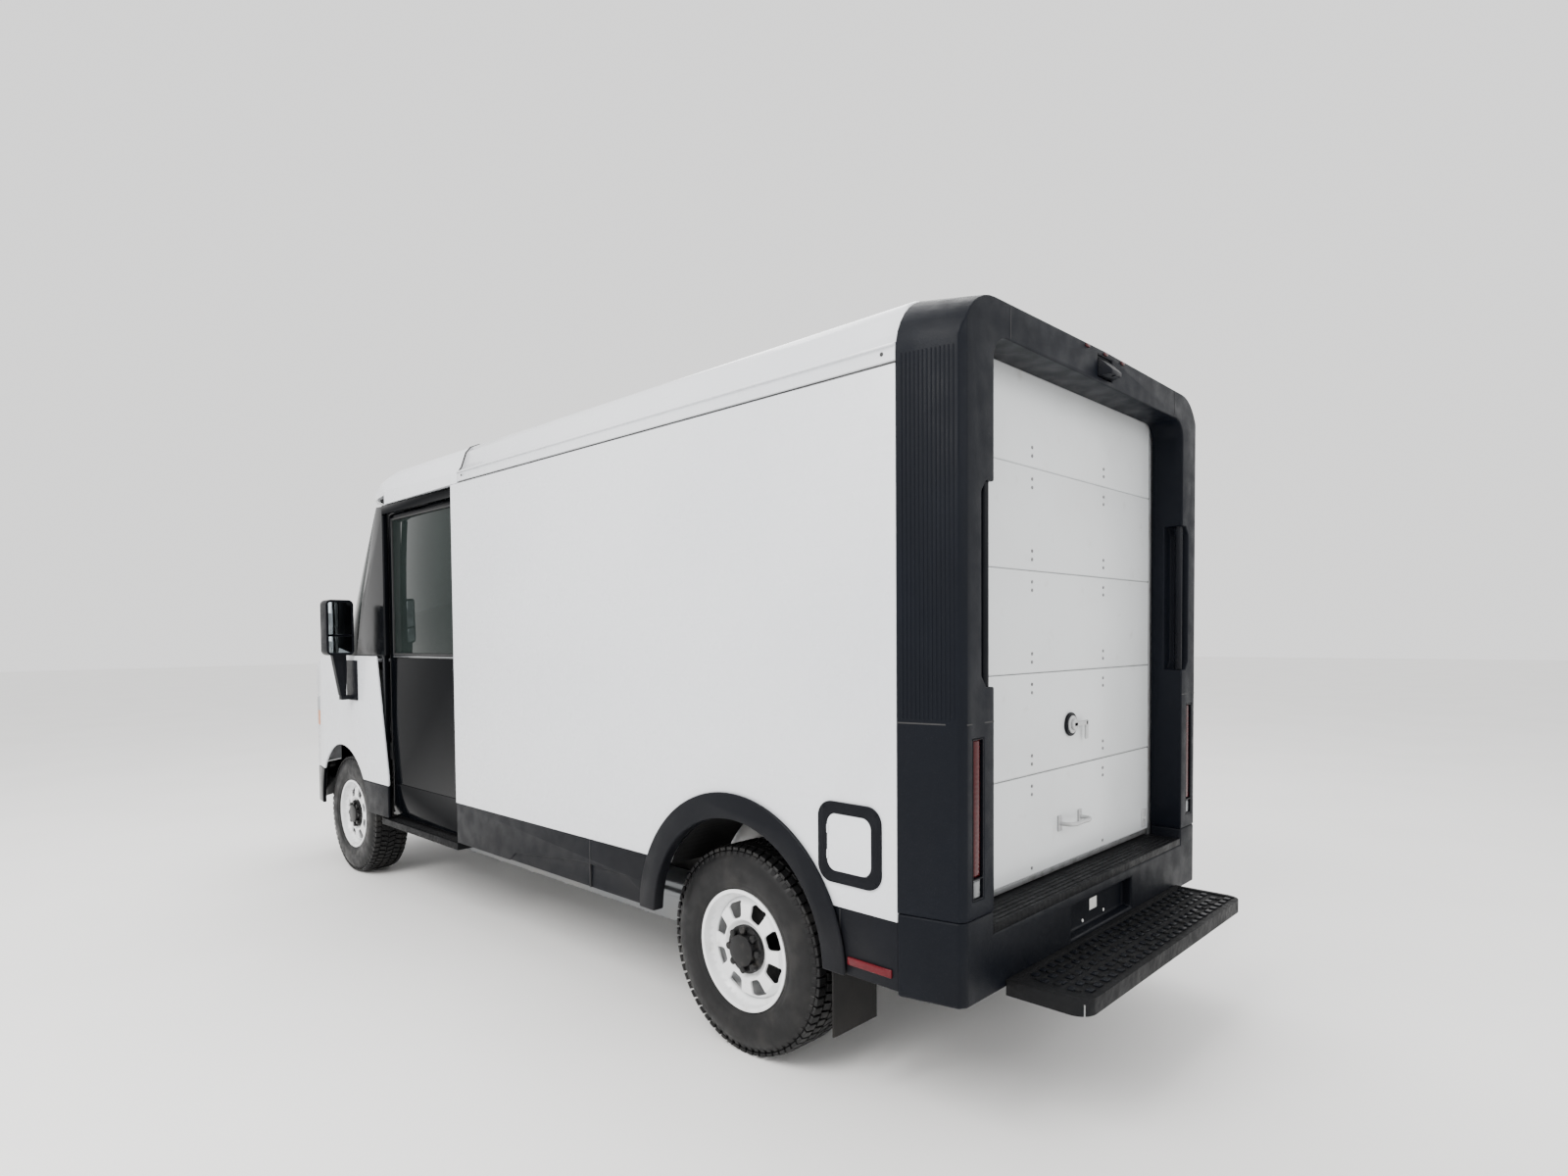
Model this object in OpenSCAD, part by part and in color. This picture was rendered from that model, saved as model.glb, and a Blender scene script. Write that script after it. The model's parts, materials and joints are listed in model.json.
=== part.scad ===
// Walk-in mail delivery truck. All sizes in mm, +Z up, the front faces -Y, +X is the truck's left.
// Pieces are drawn with Y measured from the front axle, and set_down() moves them to the shared frame.

/* [Overall] */
// distance between the two axles
wheelbase = 3886; // [3400:1:4700]
// front axle to the nose
front_overhang = 890; // [760:1:1080]
// rear axle to the rear edge of the step
rear_overhang = 1278; // [1200:1:1560]
// width over the two side panels
body_width = 2020; // [1760:1:2440]
// ground to the top of the roof
roof_height = 2660; // [2450:1:3200]

/* [Side] */
// underside of the side panels
panel_bottom = 704; // [690:1:760]
// depth of the rail band and cove between the side panel and the roof top
cove_height = 234; // [215:1:290]
// thickness of the side panels
panel_t = 38; // [25:1:45]
// height of the rail band above the side panel
rail_height = 62; // [45:1:75]
// underside of the lower skirts
skirt_bottom = 486; // [450:1:560]

/* [Cab] */
// front axle to the front edge of the cab door opening
door_front = 736; // [700:1:860]
// length of the cab door opening
door_length = 969; // [800:1:1170]
// travel of each cab door into its pocket
door_travel = 760; // [500:1:780]
// thickness of each cab door
door_t = 34; // [28:1:40]
// height of the hood line at the cowl
cowl_height = 1496; // [1400:1:1560]
// underside of the cab door
door_bottom = 502; // [490:1:560]

/* [Rear end] */
// depth of the black rear surround
portal_depth = 210; // [190:1:250]
// how far the step stands out behind the surround
step_reach = 271; // [220:1:330]
// half width of the rear opening
opening_half = 790; // [700:1:800]
// lower edge of the header over the rear opening
header_bottom = 2515; // [2400:1:2530]
// height of the load floor at the rear sill
floor_height = 693; // [660:1:700]
// height of one rear door panel
door_pitch = 368; // [300:1:380]
// thickness of the rear door panels
slat_t = 28; // [20:1:32]
// height of the top of the step
step_height = 501; // [480:1:540]

/* [Wheels] */
// radius of the tyres
tyre_r = 399; // [370:1:410]
// width of the tyres
tyre_w = 245; // [205:1:255]
// radius of the rim flange
rim_r = 231; // [210:1:245]
// wheel centre plane to the truck's centre line
half_track = 812; // [780:1:830]
// largest steering angle of the front wheels
steer_max = 30; // [20:1:34]
// radius of the rear wheel arch opening
arch_r = 452; // [440:1:470]
// width of the rear arch flare
flare_w = 98; // [60:1:110]

/* [Hidden] */
$fn = 64;
e = 1;
big = 9000;
half_w = body_width / 2;
y_ra = wheelbase;
y_end = wheelbase + rear_overhang;
y_nose = -front_overhang;
y_shift = -(y_end + y_nose) / 2;
y_rear = y_end - step_reach;
panel_rear = y_rear - portal_depth;
door_rear = door_front + door_length;
panel_gap = 23;
panel_front = door_rear + panel_gap;
seam_y = panel_front + 86;
panel_top = roof_height - cove_height;
rail_top = panel_top + rail_height;
panel_in = half_w - panel_t;
door_gap = 25;
door_x1 = panel_in - door_gap;
door_x0 = door_x1 - door_t;
floor_half = door_x0 - 12;
roof_t = 32;
roof_under = roof_height - 36;
axle_z = tyre_r;
arch_y = y_ra + 44;
arch_z = axle_z + 72;
flare_r = arch_r + flare_w;
rail_half = 430;
rail_w = 64;
cab_z = 560;
rail_z1 = cab_z;
rail_z0 = axle_z + 50;
glass_top = panel_top - 55;
belt_z = 1500;
fender_t = 16;
frame_x0 = door_x1 + 10;
frame_x1 = half_w - 12 - fender_t - e;
curtain_y = y_rear - 136;
slats = 4;
curtain_bottom = floor_height + 27;
top_slat = header_bottom + 5 - curtain_bottom - slats * door_pitch;
curtain_half = opening_half - 24;
well_r = tyre_r + 82;
cargo_z = floor_height - 30;

// a half outline that starts and ends on the centre line, joined to its mirror image
function mirrored(p) = concat(p, [for (i = [len(p) - 2:-1:1]) [-p[i][0], p[i][1]]]);
module set_down() translate([0, y_shift, 0]) children();
module block(x0, x1, y0, y1, z0, z1)
  translate([x0, y0, z0]) cube([x1 - x0, y1 - y0, z1 - z0]);
module both() {
  children();
  mirror([1, 0, 0]) children();
}
// a profile drawn in (Y, Z) and swept from x0 to x1
module sweep_x(x0, x1) translate([x0, 0, 0]) rotate([90, 0, 90]) linear_extrude(x1 - x0) children();
// a profile drawn in (X, Z) and swept from y0 to y1
module sweep_y(y0, y1) translate([0, y1, 0]) rotate([90, 0, 0]) linear_extrude(y1 - y0) children();
module rod_x(x0, x1, r, y, z) translate([x0, y, z]) rotate([0, 90, 0]) cylinder(r = r, h = x1 - x0);
module rod_z(x, y, z0, z1, r) translate([x, y, z0]) cylinder(r = r, h = z1 - z0);
module rod_y(x, z, y0, y1, r) translate([x, y0, z]) rotate([-90, 0, 0]) cylinder(r = r, h = y1 - y0);
// a rectangle with square-set rounded corners
module rounded(w, h, r) {
  square([w - 2 * r, h], center = true);
  square([w, h - 2 * r], center = true);
  for (sx = [-1, 1], sy = [-1, 1]) translate([sx * (w / 2 - r), sy * (h / 2 - r)]) circle(r);
}

// ---- chassis ----
rail_front = y_nose + 190;
rail_rear = panel_rear - 120;
cross_w = 50;
cross_front = [rail_front + 20, -240 - cross_w];
cross_rear = 300;
cross_n = ceil((rail_rear - cross_rear - cross_w) / 600);
cross_y = concat(cross_front, [for (i = [0:cross_n]) cross_rear + i * (rail_rear - cross_rear - cross_w) / cross_n]);
module frame_rails() set_down() color("#1b1c1e") {
  both() difference() {
    block(rail_half - rail_w, rail_half, rail_front, rail_rear, rail_z0, rail_z1);
    block(rail_half - rail_w - e, rail_half - 10, rail_front - e, rail_rear + e, rail_z0 + 10, rail_z1 - 10);
  }
  for (y = cross_y) block(-(rail_half - 10), rail_half - 10, y, y + cross_w, rail_z0 + 20, rail_z1 - 20);
  both() block(rail_half - rail_w, rail_half, seam_y + 20, rail_rear, rail_z1, cargo_z);
}

pack_front = well_r + 150;
pack_rear = y_ra - tyre_r - 230;
pack_half = 610;
pack_z0 = rail_z0 - 205;
module battery_pack() set_down() color("#55585c") {
  block(-pack_half, pack_half, pack_front, pack_rear, pack_z0 + 20, rail_z0);
  for (i = [0:7])
    block(-pack_half + 30, pack_half - 30, pack_front + 40 + i * (pack_rear - pack_front - 130) / 7,
      pack_front + 90 + i * (pack_rear - pack_front - 130) / 7, pack_z0, pack_z0 + 20);
  both() block(pack_half, pack_half + 30, pack_front + 60, pack_rear - 60, rail_z0 - 60, rail_z0 - 30);
}

arm_end = half_track - 112;
module front_axle() set_down() color("#3d4044") {
  block(-300, 300, -240, 240, axle_z - 90, axle_z - 50);
  both() block(299, 366, -240, 240, axle_z - 90, rail_z0);
  rod_x(-200, 160, 118, 0, axle_z + 25);
  block(160, 260, -120, 150, axle_z - 50, axle_z + 140);
  both() rod_x(259, half_track - 212, 22, 0, axle_z);
  both() rod_x(half_track - 262, half_track - 206, 44, 0, axle_z);
  both() for (s = [-1, 1]) sweep_x(340, 372) translate([s * 190, axle_z - 84]) circle(26);
  both() linear_extrude_arm();
  both() rod_z(468, 0, axle_z + 70, rail_z1 + 10, 34);
  both() block(rail_half, 480, -34, 34, rail_z1 - 30, rail_z1 + 10);
}
module linear_extrude_arm() translate([0, 0, axle_z - 96]) linear_extrude(26)
  polygon([[366, -205], [366, 205], [420, 205], [arm_end, 30], [arm_end, -30], [420, -205]]);

spring_x = 545;
module rear_axle() set_down() color("#3a3c3f") {
  rod_x(-(half_track - 78), half_track - 78, 46, y_ra, axle_z);
  both() difference() {
    sweep_x(spring_x - 32, spring_x + 32) polygon([[y_ra - 600, rail_z0 + 14], [y_ra, axle_z + 47],
      [y_ra + 600, rail_z0 + 14], [y_ra + 600, rail_z0 + 30], [y_ra, axle_z + 72], [y_ra - 600, rail_z0 + 30]]);
    rod_x(spring_x - 40, spring_x + 40, 0.01, y_ra, axle_z);
  }
  both() block(spring_x - 44, spring_x + 44, y_ra - 60, y_ra + 60, axle_z + 30, axle_z + 47);
  both() for (s = [-1, 1])
    block(rail_half, spring_x + 40, y_ra + s * 600 - 24, y_ra + s * 600 + 24, rail_z0 + 30, rail_z0 + 70);
  both() rod_z(spring_x + 74, y_ra - 90, axle_z - 60, rail_z1, 24);
  both() block(rail_half, spring_x + 98, y_ra - 114, y_ra - 66, rail_z1 - 40, rail_z1);
}

// the wheels are drawn about the origin with the outer face at +X, and set_wheel() puts each one down
module set_wheel(s, y) set_down() translate([s * half_track, y, axle_z])
  mirror([s < 0 ? 1 : 0, 0, 0]) children();
rim_face = 110;
rim_back = -100;
hole_n = 8;
hole_r = 148;
disc_x = 62;
module wheel_disc() color("#f2f3f4") {
  rotate([90, 0, 90]) rotate_extrude($fn = 96) polygon([[rim_r - 14, rim_back], [rim_r, rim_back],
    [rim_r, rim_back + 9], [rim_r - 9, rim_back + 14], [rim_r - 12, rim_back + 44], [rim_r - 28, rim_back + 60],
    [rim_r - 28, rim_face - 56], [rim_r - 12, rim_face - 40], [rim_r - 9, rim_face - 12],
    [rim_r, rim_face - 8], [rim_r, rim_face], [rim_r - 14, rim_face], [rim_r - 20, rim_face - 34],
    [rim_r - 36, rim_face - 54], [rim_r - 36, rim_back + 64], [rim_r - 20, rim_back + 48]]);
  rotate([90, 0, 90]) difference() {
    rotate_extrude($fn = 96) polygon([[64, disc_x + 14], [96, disc_x + 14], [112, disc_x + 28],
      [172, disc_x + 22], [rim_r - 34, disc_x - 14], [rim_r - 34, disc_x - 22], [172, disc_x + 12],
      [112, disc_x + 18], [98, disc_x + 4], [64, disc_x + 4]]);
    for (i = [0:hole_n - 1]) rotate((i + 0.5) * 360 / hole_n) translate([hole_r, 0, 0])
      linear_extrude(200) hand_hole();
  }
}
module hand_hole() polygon([[-30, -14], [-28, -21], [-20, -27], [18, -37], [27, -34], [31, -26], [31, 26],
  [27, 34], [18, 37], [-20, 27], [-28, 21], [-30, 14]]);
module tyre_ring() color("#17181a") rotate([90, 0, 90]) rotate_extrude($fn = 96) polygon([
  [rim_r - 8.6, rim_back + 14.4], [rim_r + 0.6, rim_back + 9.4], [rim_r + 6, rim_back - 8], [rim_r + 60, -tyre_w / 2],
  [tyre_r - 60, -tyre_w / 2], [tyre_r - 22, -tyre_w / 2 + 10], [tyre_r - 6, -tyre_w / 2 + 26],
  [tyre_r, -tyre_w / 2 + 46], [tyre_r, tyre_w / 2 - 46], [tyre_r - 6, tyre_w / 2 - 26],
  [tyre_r - 22, tyre_w / 2 - 10], [tyre_r - 60, tyre_w / 2], [rim_r + 60, tyre_w / 2],
  [rim_r + 6, rim_face + 4], [rim_r + 0.6, rim_face - 8.4], [rim_r - 8.6, rim_face - 12.4],
  [rim_r - 11.6, rim_face - 40.4], [rim_r + 60, rim_face - 30],
  [tyre_r - 30, rim_face - 22], [tyre_r - 20, 0], [tyre_r - 30, rim_back + 12], [rim_r + 60, rim_back + 20],
  [rim_r - 11.6, rim_back + 44]]);
hub_r = 58;
module hub_set() color("#2a2c2f") {
  rod_x(-58, -34, 168, 0, 0);
  rod_x(-34, disc_x + 3.5, hub_r, 0, 0);
  rod_x(disc_x + 3.5, disc_x + 52, 60, 0, 0);
  rod_x(disc_x + 14.5, disc_x + 30, 92, 0, 0);
  for (i = [0:hole_n - 1]) rotate([i * 360 / hole_n, 0, 0]) rod_x(disc_x + 14.5, disc_x + 46, 14, 0, 76);
}
module wheel_front_left() set_wheel(1, 0) wheel_disc();
module wheel_front_right() set_wheel(-1, 0) wheel_disc();
module wheel_rear_left() set_wheel(1, y_ra) wheel_disc();
module wheel_rear_right() set_wheel(-1, y_ra) wheel_disc();
module tyre_front_left() set_wheel(1, 0) tyre_ring();
module tyre_front_right() set_wheel(-1, 0) tyre_ring();
module tyre_rear_left() set_wheel(1, y_ra) tyre_ring();
module tyre_rear_right() set_wheel(-1, y_ra) tyre_ring();
module hub_front_left() set_wheel(1, 0) hub_set();
module hub_front_right() set_wheel(-1, 0) hub_set();
module hub_rear_left() set_wheel(1, y_ra) hub_set();
module hub_rear_right() set_wheel(-1, y_ra) hub_set();

// the knuckle carries the front hub and its brake caliper, and turns about a vertical line
module knuckle() color("#4a4d50") {
  rod_x(-140, -60, 62, 0, 0);
  block(-140, -112, -70, 70, -66, 120);
  difference() {
    block(-84, -20, -176, -112, -60, 60);
    rod_x(-62, -30, 176, 0, 0);
  }
  block(-140, -84, -150, -40, -26, 26);
}
module knuckle_left() set_wheel(1, 0) knuckle();
module knuckle_right() set_wheel(-1, 0) knuckle();

// ---- floors and inner walls ----
house_top = axle_z + well_r + 24;
house_x = 488;
module cab_floor() set_down() color("#35383b") {
  difference() {
    block(-floor_half, floor_half, well_r + 14, seam_y, cab_z, cab_z + 40);
    both() block(floor_half - 60, floor_half + e, well_r, door_front + 2, cab_z - e, cab_z + 40 + e);
  }
  both() block(house_x - 14, floor_half - 62, -well_r + 40, well_r + 14, house_top, house_top + 14);
  both() block(house_x - 14, house_x, -well_r + 40, well_r + 14, rail_z1 + 70, house_top);
  both() block(house_x, floor_half - 62, well_r, well_r + 14, cab_z + 40, house_top);
  block(-house_x + 14, house_x - 14, -well_r + 120, -well_r + 134, cab_z + 40, house_top + 14);
  block(-house_x + 14, house_x - 14, -well_r + 120, well_r + 14, cab_z + 62, cab_z + 76);
  block(-house_x + 14, house_x - 14, well_r, well_r + 14, cab_z + 40, cab_z + 62);
}

pocket_rear = door_rear + door_travel + 60;
well_in = half_track - tyre_w / 2 - 48;
well_top = arch_z + arch_r + 10;
foot_t = 4;
module cargo_floor() set_down() color("#8b8e90") {
  difference() {
    union() {
      block(-floor_half, floor_half, seam_y + 2, panel_rear, cargo_z, floor_height);
      block(-panel_in, panel_in, pocket_rear + 4, panel_rear, cargo_z, floor_height);
    }
    both() block(well_in, big, arch_y - arch_r - 14, arch_y + arch_r + 14, cargo_z - e, floor_height + e);
    block(-big, big, seam_y, seam_y + 37, floor_height - foot_t, floor_height + e);
    both() block(floor_half - 15, floor_half + e, seam_y, pocket_rear + 1, floor_height - foot_t, floor_height + e);
  }
  both() block(well_in - 14, well_in, arch_y - arch_r - 14, arch_y + arch_r + 14, floor_height, well_top);
  both() block(well_in - 14, panel_in - 2, arch_y - arch_r - 28, arch_y - arch_r - 14, floor_height, well_top);
  both() block(well_in - 14, panel_in - 2, arch_y + arch_r + 14, arch_y + arch_r + 28, floor_height, well_top);
  both() block(well_in - 14, panel_in - 2, arch_y - arch_r - 28, arch_y + arch_r + 28, well_top, well_top + 12);
}

walk_half = 330;
module bulkhead() set_down() color("#c9ccce") {
  difference() {
    intersection() {
      block(-floor_half, floor_half, seam_y + 2, seam_y + 36, floor_height - foot_t, big);
      sweep_y(seam_y, seam_y + 40) union() {
        roof_section(roof_t + 1);
        translate([-half_w, 0]) square([body_width, rail_top + 1]);
      }
    }
    block(-walk_half, walk_half, seam_y, seam_y + 40, floor_height - e, header_bottom - 80);
  }
  both() block(floor_half - 14, floor_half, seam_y + 36, pocket_rear, floor_height - foot_t, rail_top + 60);
}

// ---- cargo body ----
charge_y = panel_rear - 189;
charge_z = floor_height + 226;
charge_w = 262;
charge_h = 268;
charge_r = 56;
charge_band = 38;
module charge_shape(inset) translate([charge_y, charge_z])
  rounded(charge_w - 2 * inset, charge_h - 2 * inset, charge_r - inset / 2);
module side_panel() color("#eef0f2") difference() {
  block(panel_in, half_w, panel_front, panel_rear, panel_bottom, panel_top);
  rod_x(panel_in - e, half_w + e, flare_r - 26, arch_y, arch_z);
}
module side_panel_left() set_down() color("#eef0f2") difference() {
  side_panel();
  sweep_x(panel_in - e, half_w + e) charge_shape(charge_band + 5);
}
module side_panel_right() set_down() mirror([1, 0, 0]) side_panel();

// outer and inner section of the roof, drawn in (X, Z); t moves it inwards
function roof_half_section(t) = [[half_w - 10 - t, rail_top], [half_w - 26 - t, rail_top + 26 - t / 4],
  [half_w - 52 - t, rail_top + 104 - t], [half_w - 78 - t, rail_top + 136 - t],
  [half_w - 126 - t, rail_top + 158 - t], [half_w - 320 - t, roof_height - 5 - t], [0, roof_height - t]];
module roof_section(t) {
  polygon(mirrored(concat([[0, rail_top]], roof_half_section(t))));
}
module cargo_roof() set_down() color("#eef0f2") difference() {
  sweep_y(seam_y + 2, panel_rear) roof_section(0);
  sweep_y(seam_y, panel_rear + e) roof_section(roof_t);
  block(-half_w, half_w, seam_y, panel_rear + e, rail_top - 5, rail_top);
}
module rail_section() polygon([[panel_in + 4, panel_top], [half_w - 2, panel_top], [half_w - 2, panel_top + 6],
  [half_w + 2, panel_top + 9], [half_w + 2, rail_top - 12], [half_w + 6, rail_top - 10],
  [half_w + 6, rail_top - 2], [half_w + 2, rail_top], [panel_in - 20, rail_top], [panel_in - 20, rail_top - 8],
  [panel_in + 4, rail_top - 8]]);
module roof_rails() set_down() color("#e9ebed") both()
  sweep_y(seam_y + 2, panel_rear) rail_section();

module lower_skirts() set_down() color("#22252b") {
  both() skirt();
  front_rocker();
}
module skirt() difference() {
  block(panel_in, half_w - 4, panel_front, panel_rear, skirt_bottom, panel_bottom);
  rod_x(panel_in - e, half_w, flare_r - 26, arch_y, arch_z);
  block(panel_in - e, half_w, arch_y - flare_r + 20, arch_y + flare_r - 20, skirt_bottom - e, arch_z);
  sweep_x(half_w - 12, half_w) polygon([[panel_front + 120, skirt_bottom - e], [panel_front + 560, skirt_bottom - e],
    [panel_front + 620, skirt_bottom + 46], [panel_front + 1180, skirt_bottom + 104],
    [arch_y - flare_r - 120, skirt_bottom + 104], [arch_y - flare_r + 40, skirt_bottom + 30],
    [arch_y - flare_r + 40, skirt_bottom - e]]);
}
module front_rocker() difference() {
  translate([0, 0, skirt_bottom]) linear_extrude(fender_z0 - 2 - skirt_bottom) difference() {
    cab_outline(0);
    cab_outline(fender_t);
    translate([-half_w + 60, fender_rear - e]) square([body_width - 120, 2]);
    translate([-big, -big]) square([2 * big, big + front_arch / 2]);
  }
  rod_x(-big, big, front_arch, front_arch_y, front_arch_z);
}
module arch_ring() difference() {
  union() {
    intersection() {
      circle(flare_r, $fn = 128);
      translate([-flare_r, skirt_bottom - arch_z]) square([2 * flare_r, big]);
    }
  }
  circle(arch_r, $fn = 128);
  translate([-arch_r, -big]) square([2 * arch_r, big]);
}
module arch_flares() set_down() color("#1d2026") both() difference() {
  union() {
    sweep_x(half_w, half_w + 14) translate([arch_y, arch_z]) arch_ring();
    sweep_x(panel_in, half_w) translate([arch_y, arch_z]) intersection() {
      arch_ring();
      circle(flare_r - 27, $fn = 128);
    }
  }
  sweep_x(half_w - 1, half_w + 20) charge_shape(-1);
}
flap_y = arch_y + arch_r - 30;
module mud_flaps() set_down() color("#141517") both() {
  block(half_track - 116, half_track + 126, flap_y, flap_y + 8, 214, skirt_bottom + 20);
  block(half_track - 116, half_track + 126, flap_y + 8, flap_y + 44, skirt_bottom - 20, skirt_bottom + 20);
  block(half_track + 126, panel_in, flap_y, flap_y + 44, skirt_bottom + 2, skirt_bottom + 20);
}
module side_reflectors() set_down() color("#b3121b") both() {
  block(half_w - 4, half_w + 4, max(panel_rear - 242, arch_y + flare_r + 4), panel_rear - 22, skirt_bottom + 38, skirt_bottom + 64);
}

// ---- charge port ----
module charge_frame() set_down() color("#1b1c1f") {
  sweep_x(half_w, half_w + 7) difference() {
    charge_shape(0);
    charge_shape(charge_band);
  }
  difference() {
    sweep_x(panel_in, half_w - 4) charge_shape(charge_band + 6);
    sweep_x(panel_in + 6, half_w + e) charge_shape(charge_band + 12);
  }
  rod_x(panel_in + 6, half_w - 8, 34, charge_y, charge_z);
  for (sy = [-1, 1], sz = [-1, 1])
    rod_x(half_w + 7, half_w + 9, 6, charge_y + sy * (charge_w / 2 - 22), charge_z + sz * (charge_h / 2 - 22));
}
charge_hinge_y = charge_y - charge_w / 2 + charge_band + 2;
module charge_door() set_down() color("#eef0f2") {
  sweep_x(half_w + 1, half_w + 6) charge_shape(charge_band + 2);
  for (s = [-1, 1]) rod_z(half_w + 7, charge_hinge_y + 3, charge_z + s * 42 - 14, charge_z + s * 42 + 14, 4);
}

// ---- rear surround ----
taper = 50;
portal_seam = floor_height + 42;
corner_in = 196;
corner_drop = 205;
module portal_plan() polygon([[-half_w - 3, panel_rear], [half_w + 3, panel_rear],
  [half_w - taper + 8, y_rear - 14], [half_w - taper - 16, y_rear], [-half_w + taper + 16, y_rear],
  [-half_w + taper - 8, y_rear - 14]]);
module portal_face() polygon(concat(
  [[-half_w - 3, 0], [half_w + 3, 0], [half_w + 3, roof_height - corner_drop]],
  [for (a = [0:10:90]) [half_w + 3 - corner_in * (1 - cos(a)), roof_height - corner_drop + (corner_drop - 6) * sin(a)]],
  [[0, roof_height + 4]],
  [for (a = [90:-10:0]) [-half_w - 3 + corner_in * (1 - cos(a)), roof_height - corner_drop + (corner_drop - 6) * sin(a)]],
  [[-half_w - 3, roof_height - corner_drop]]));
// the surround narrows and drops a little towards the rear
rear_scale = (half_w - taper + 8) / (half_w + 3);
level_z = roof_height - 600;
module portal_body() translate([0, y_rear, level_z]) rotate([90, 0, 0])
  linear_extrude(portal_depth, scale = 1 / rear_scale) scale(rear_scale) translate([0, -level_z]) portal_face();
opening_r = 80;
module opening_shape() polygon(concat([[-opening_half, 0], [opening_half, 0]],
  [for (a = [0:10:90]) [opening_half - opening_r * (1 - cos(a)), header_bottom - opening_r * (1 - sin(a))]],
  [for (a = [90:-10:0]) [-opening_half + opening_r * (1 - cos(a)), header_bottom - opening_r * (1 - sin(a))]]));
lamp_x = half_w - 128;
lamp_w = 60;
lamp_z0 = floor_height + 98;
lamp_z1 = floor_height + 588;
notch_z0 = 1435;
notch_z1 = 2065;
module notch_shape() polygon([[opening_half - e, notch_z0], [opening_half + 42, notch_z0],
  [opening_half + 72, notch_z0 + 36], [opening_half + 72, notch_z1 - 36], [opening_half + 42, notch_z1],
  [opening_half - e, notch_z1]]);
module rear_portal() set_down() color("#23262e") difference() {
  intersection() {
    linear_extrude(big) portal_plan();
    portal_body();
    block(-big, big, 0, big, portal_seam, big);
  }
  sweep_y(panel_rear - e, y_rear + e) opening_shape();
  block(-opening_half - 70, opening_half + 70, panel_rear - e, curtain_y + 3, 0, roof_under);
  block(-floor_half, floor_half, panel_rear - e, curtain_y - 60, 0, roof_under);
  both() block(lamp_x - lamp_w / 2 - 2, lamp_x + lamp_w / 2 + 2, y_rear - 26, y_rear + e, lamp_z0 - 2, lamp_z1 + 2);
  both() sweep_y(y_rear - 78, y_rear + e) notch_shape();
  sweep_y(y_rear - 10, y_rear + e) translate([0, header_bottom + 60]) square([124, 80], center = true);
}
module grab_bars() set_down() color("#15171b") both() {
  rod_z(opening_half + 22, y_rear - 24, notch_z0, notch_z1, 15);
}
module tail_lamps() set_down() color("#a3141c") both() {
  block(lamp_x - lamp_w / 2, lamp_x + lamp_w / 2, y_rear - 26, y_rear - 4, lamp_z0 + 130, lamp_z1);
  block(lamp_x - lamp_w / 2, lamp_x + lamp_w / 2, y_rear - 26, y_rear - 4, lamp_z0, lamp_z0 + 128);
}
module header_lamps() set_down() color("#a3141c") {
  for (s = [-1:1]) block(s * 150 - 15, s * 150 + 15, y_rear, y_rear + 5, header_bottom + 104, header_bottom + 115);
  sweep_x(-60, 60) polygon([[y_rear - 10, header_bottom + 22], [y_rear + 44, header_bottom + 26],
    [y_rear + 44, header_bottom + 42], [y_rear - 10, header_bottom + 98]]);
}
bumper_z0 = skirt_bottom - 12;
plate_half = 260;
module rear_bumper() set_down() color("#23262e") difference() {
  intersection() {
    linear_extrude(big) portal_plan();
    block(-big, big, panel_rear, y_rear, bumper_z0, portal_seam);
  }
  block(-opening_half, opening_half, panel_rear - e, y_rear + e, floor_height - 28, portal_seam + e);
  block(-opening_half - 70, opening_half + 70, panel_rear - e, curtain_y + 3, floor_height - 28, portal_seam + e);
  block(-half_w + 60, half_w - 60, panel_rear - e, y_rear - 90, bumper_z0 - e, floor_height - 40);
  block(-plate_half, plate_half, y_rear - 42, y_rear + e, bumper_z0 + 36, floor_height - 66);
}
module tread_plates() set_down() color("#1a1c20") {
  difference() {
    block(-opening_half + 1, opening_half - 1, panel_rear + 1, y_rear - 2, floor_height - 28, floor_height);
    for (i = [0:4]) block(-opening_half + 60, opening_half - 60, curtain_y + 22 + i * 22,
      curtain_y + 30 + i * 22, floor_height - 4, floor_height + e);
  }
  both() difference() {
    block(door_x0 - 40, half_w - 6, door_front - 30, panel_front - 2, door_bottom - 60, door_bottom - 22);
    for (i = [0:4]) block(door_x0 + i * 16, door_x0 + 7 + i * 16, door_front, door_rear,
      door_bottom - 26, door_bottom);
  }
  both() block(door_x0 - 40, door_x0 - 4, door_front + 2, door_rear, door_bottom - 22, cab_z);
}
step_half = 723;
step_t = 50;
module rear_step() set_down() color("#17191c") {
  difference() {
    block(-step_half, step_half, y_rear + 2, y_end, step_height - step_t, step_height);
    for (s = [-1, 1]) translate([s * step_half, y_end, 0]) rotate([0, 0, s > 0 ? 180 : 270])
      translate([-0.01, -0.01, step_height - step_t - e]) difference() {
        cube([60, 60, step_t + 2 * e]);
        translate([60, 60, -e]) cylinder(r = 60, h = step_t + 4 * e);
      }
    block(-step_half + 22, step_half - 22, y_rear + 24, y_end - 22, step_height - 5, step_height + e);
    block(-step_half + 16, step_half - 16, y_rear + 20, y_end - 16, step_height - step_t - e, step_height - 14);
  }
  for (i = [-8:8], j = [0:2]) rod_z(i * 80 + (j == 1 ? 40 : 0) - (i == 8 && j == 1 ? 40 : 0),
    y_rear + 70 + j * 66, step_height - 5, step_height, 11);
  both() block(rail_half - 40, rail_half, rail_rear, y_rear + 20, step_height - step_t - 18, step_height - step_t + 2);
}

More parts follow.
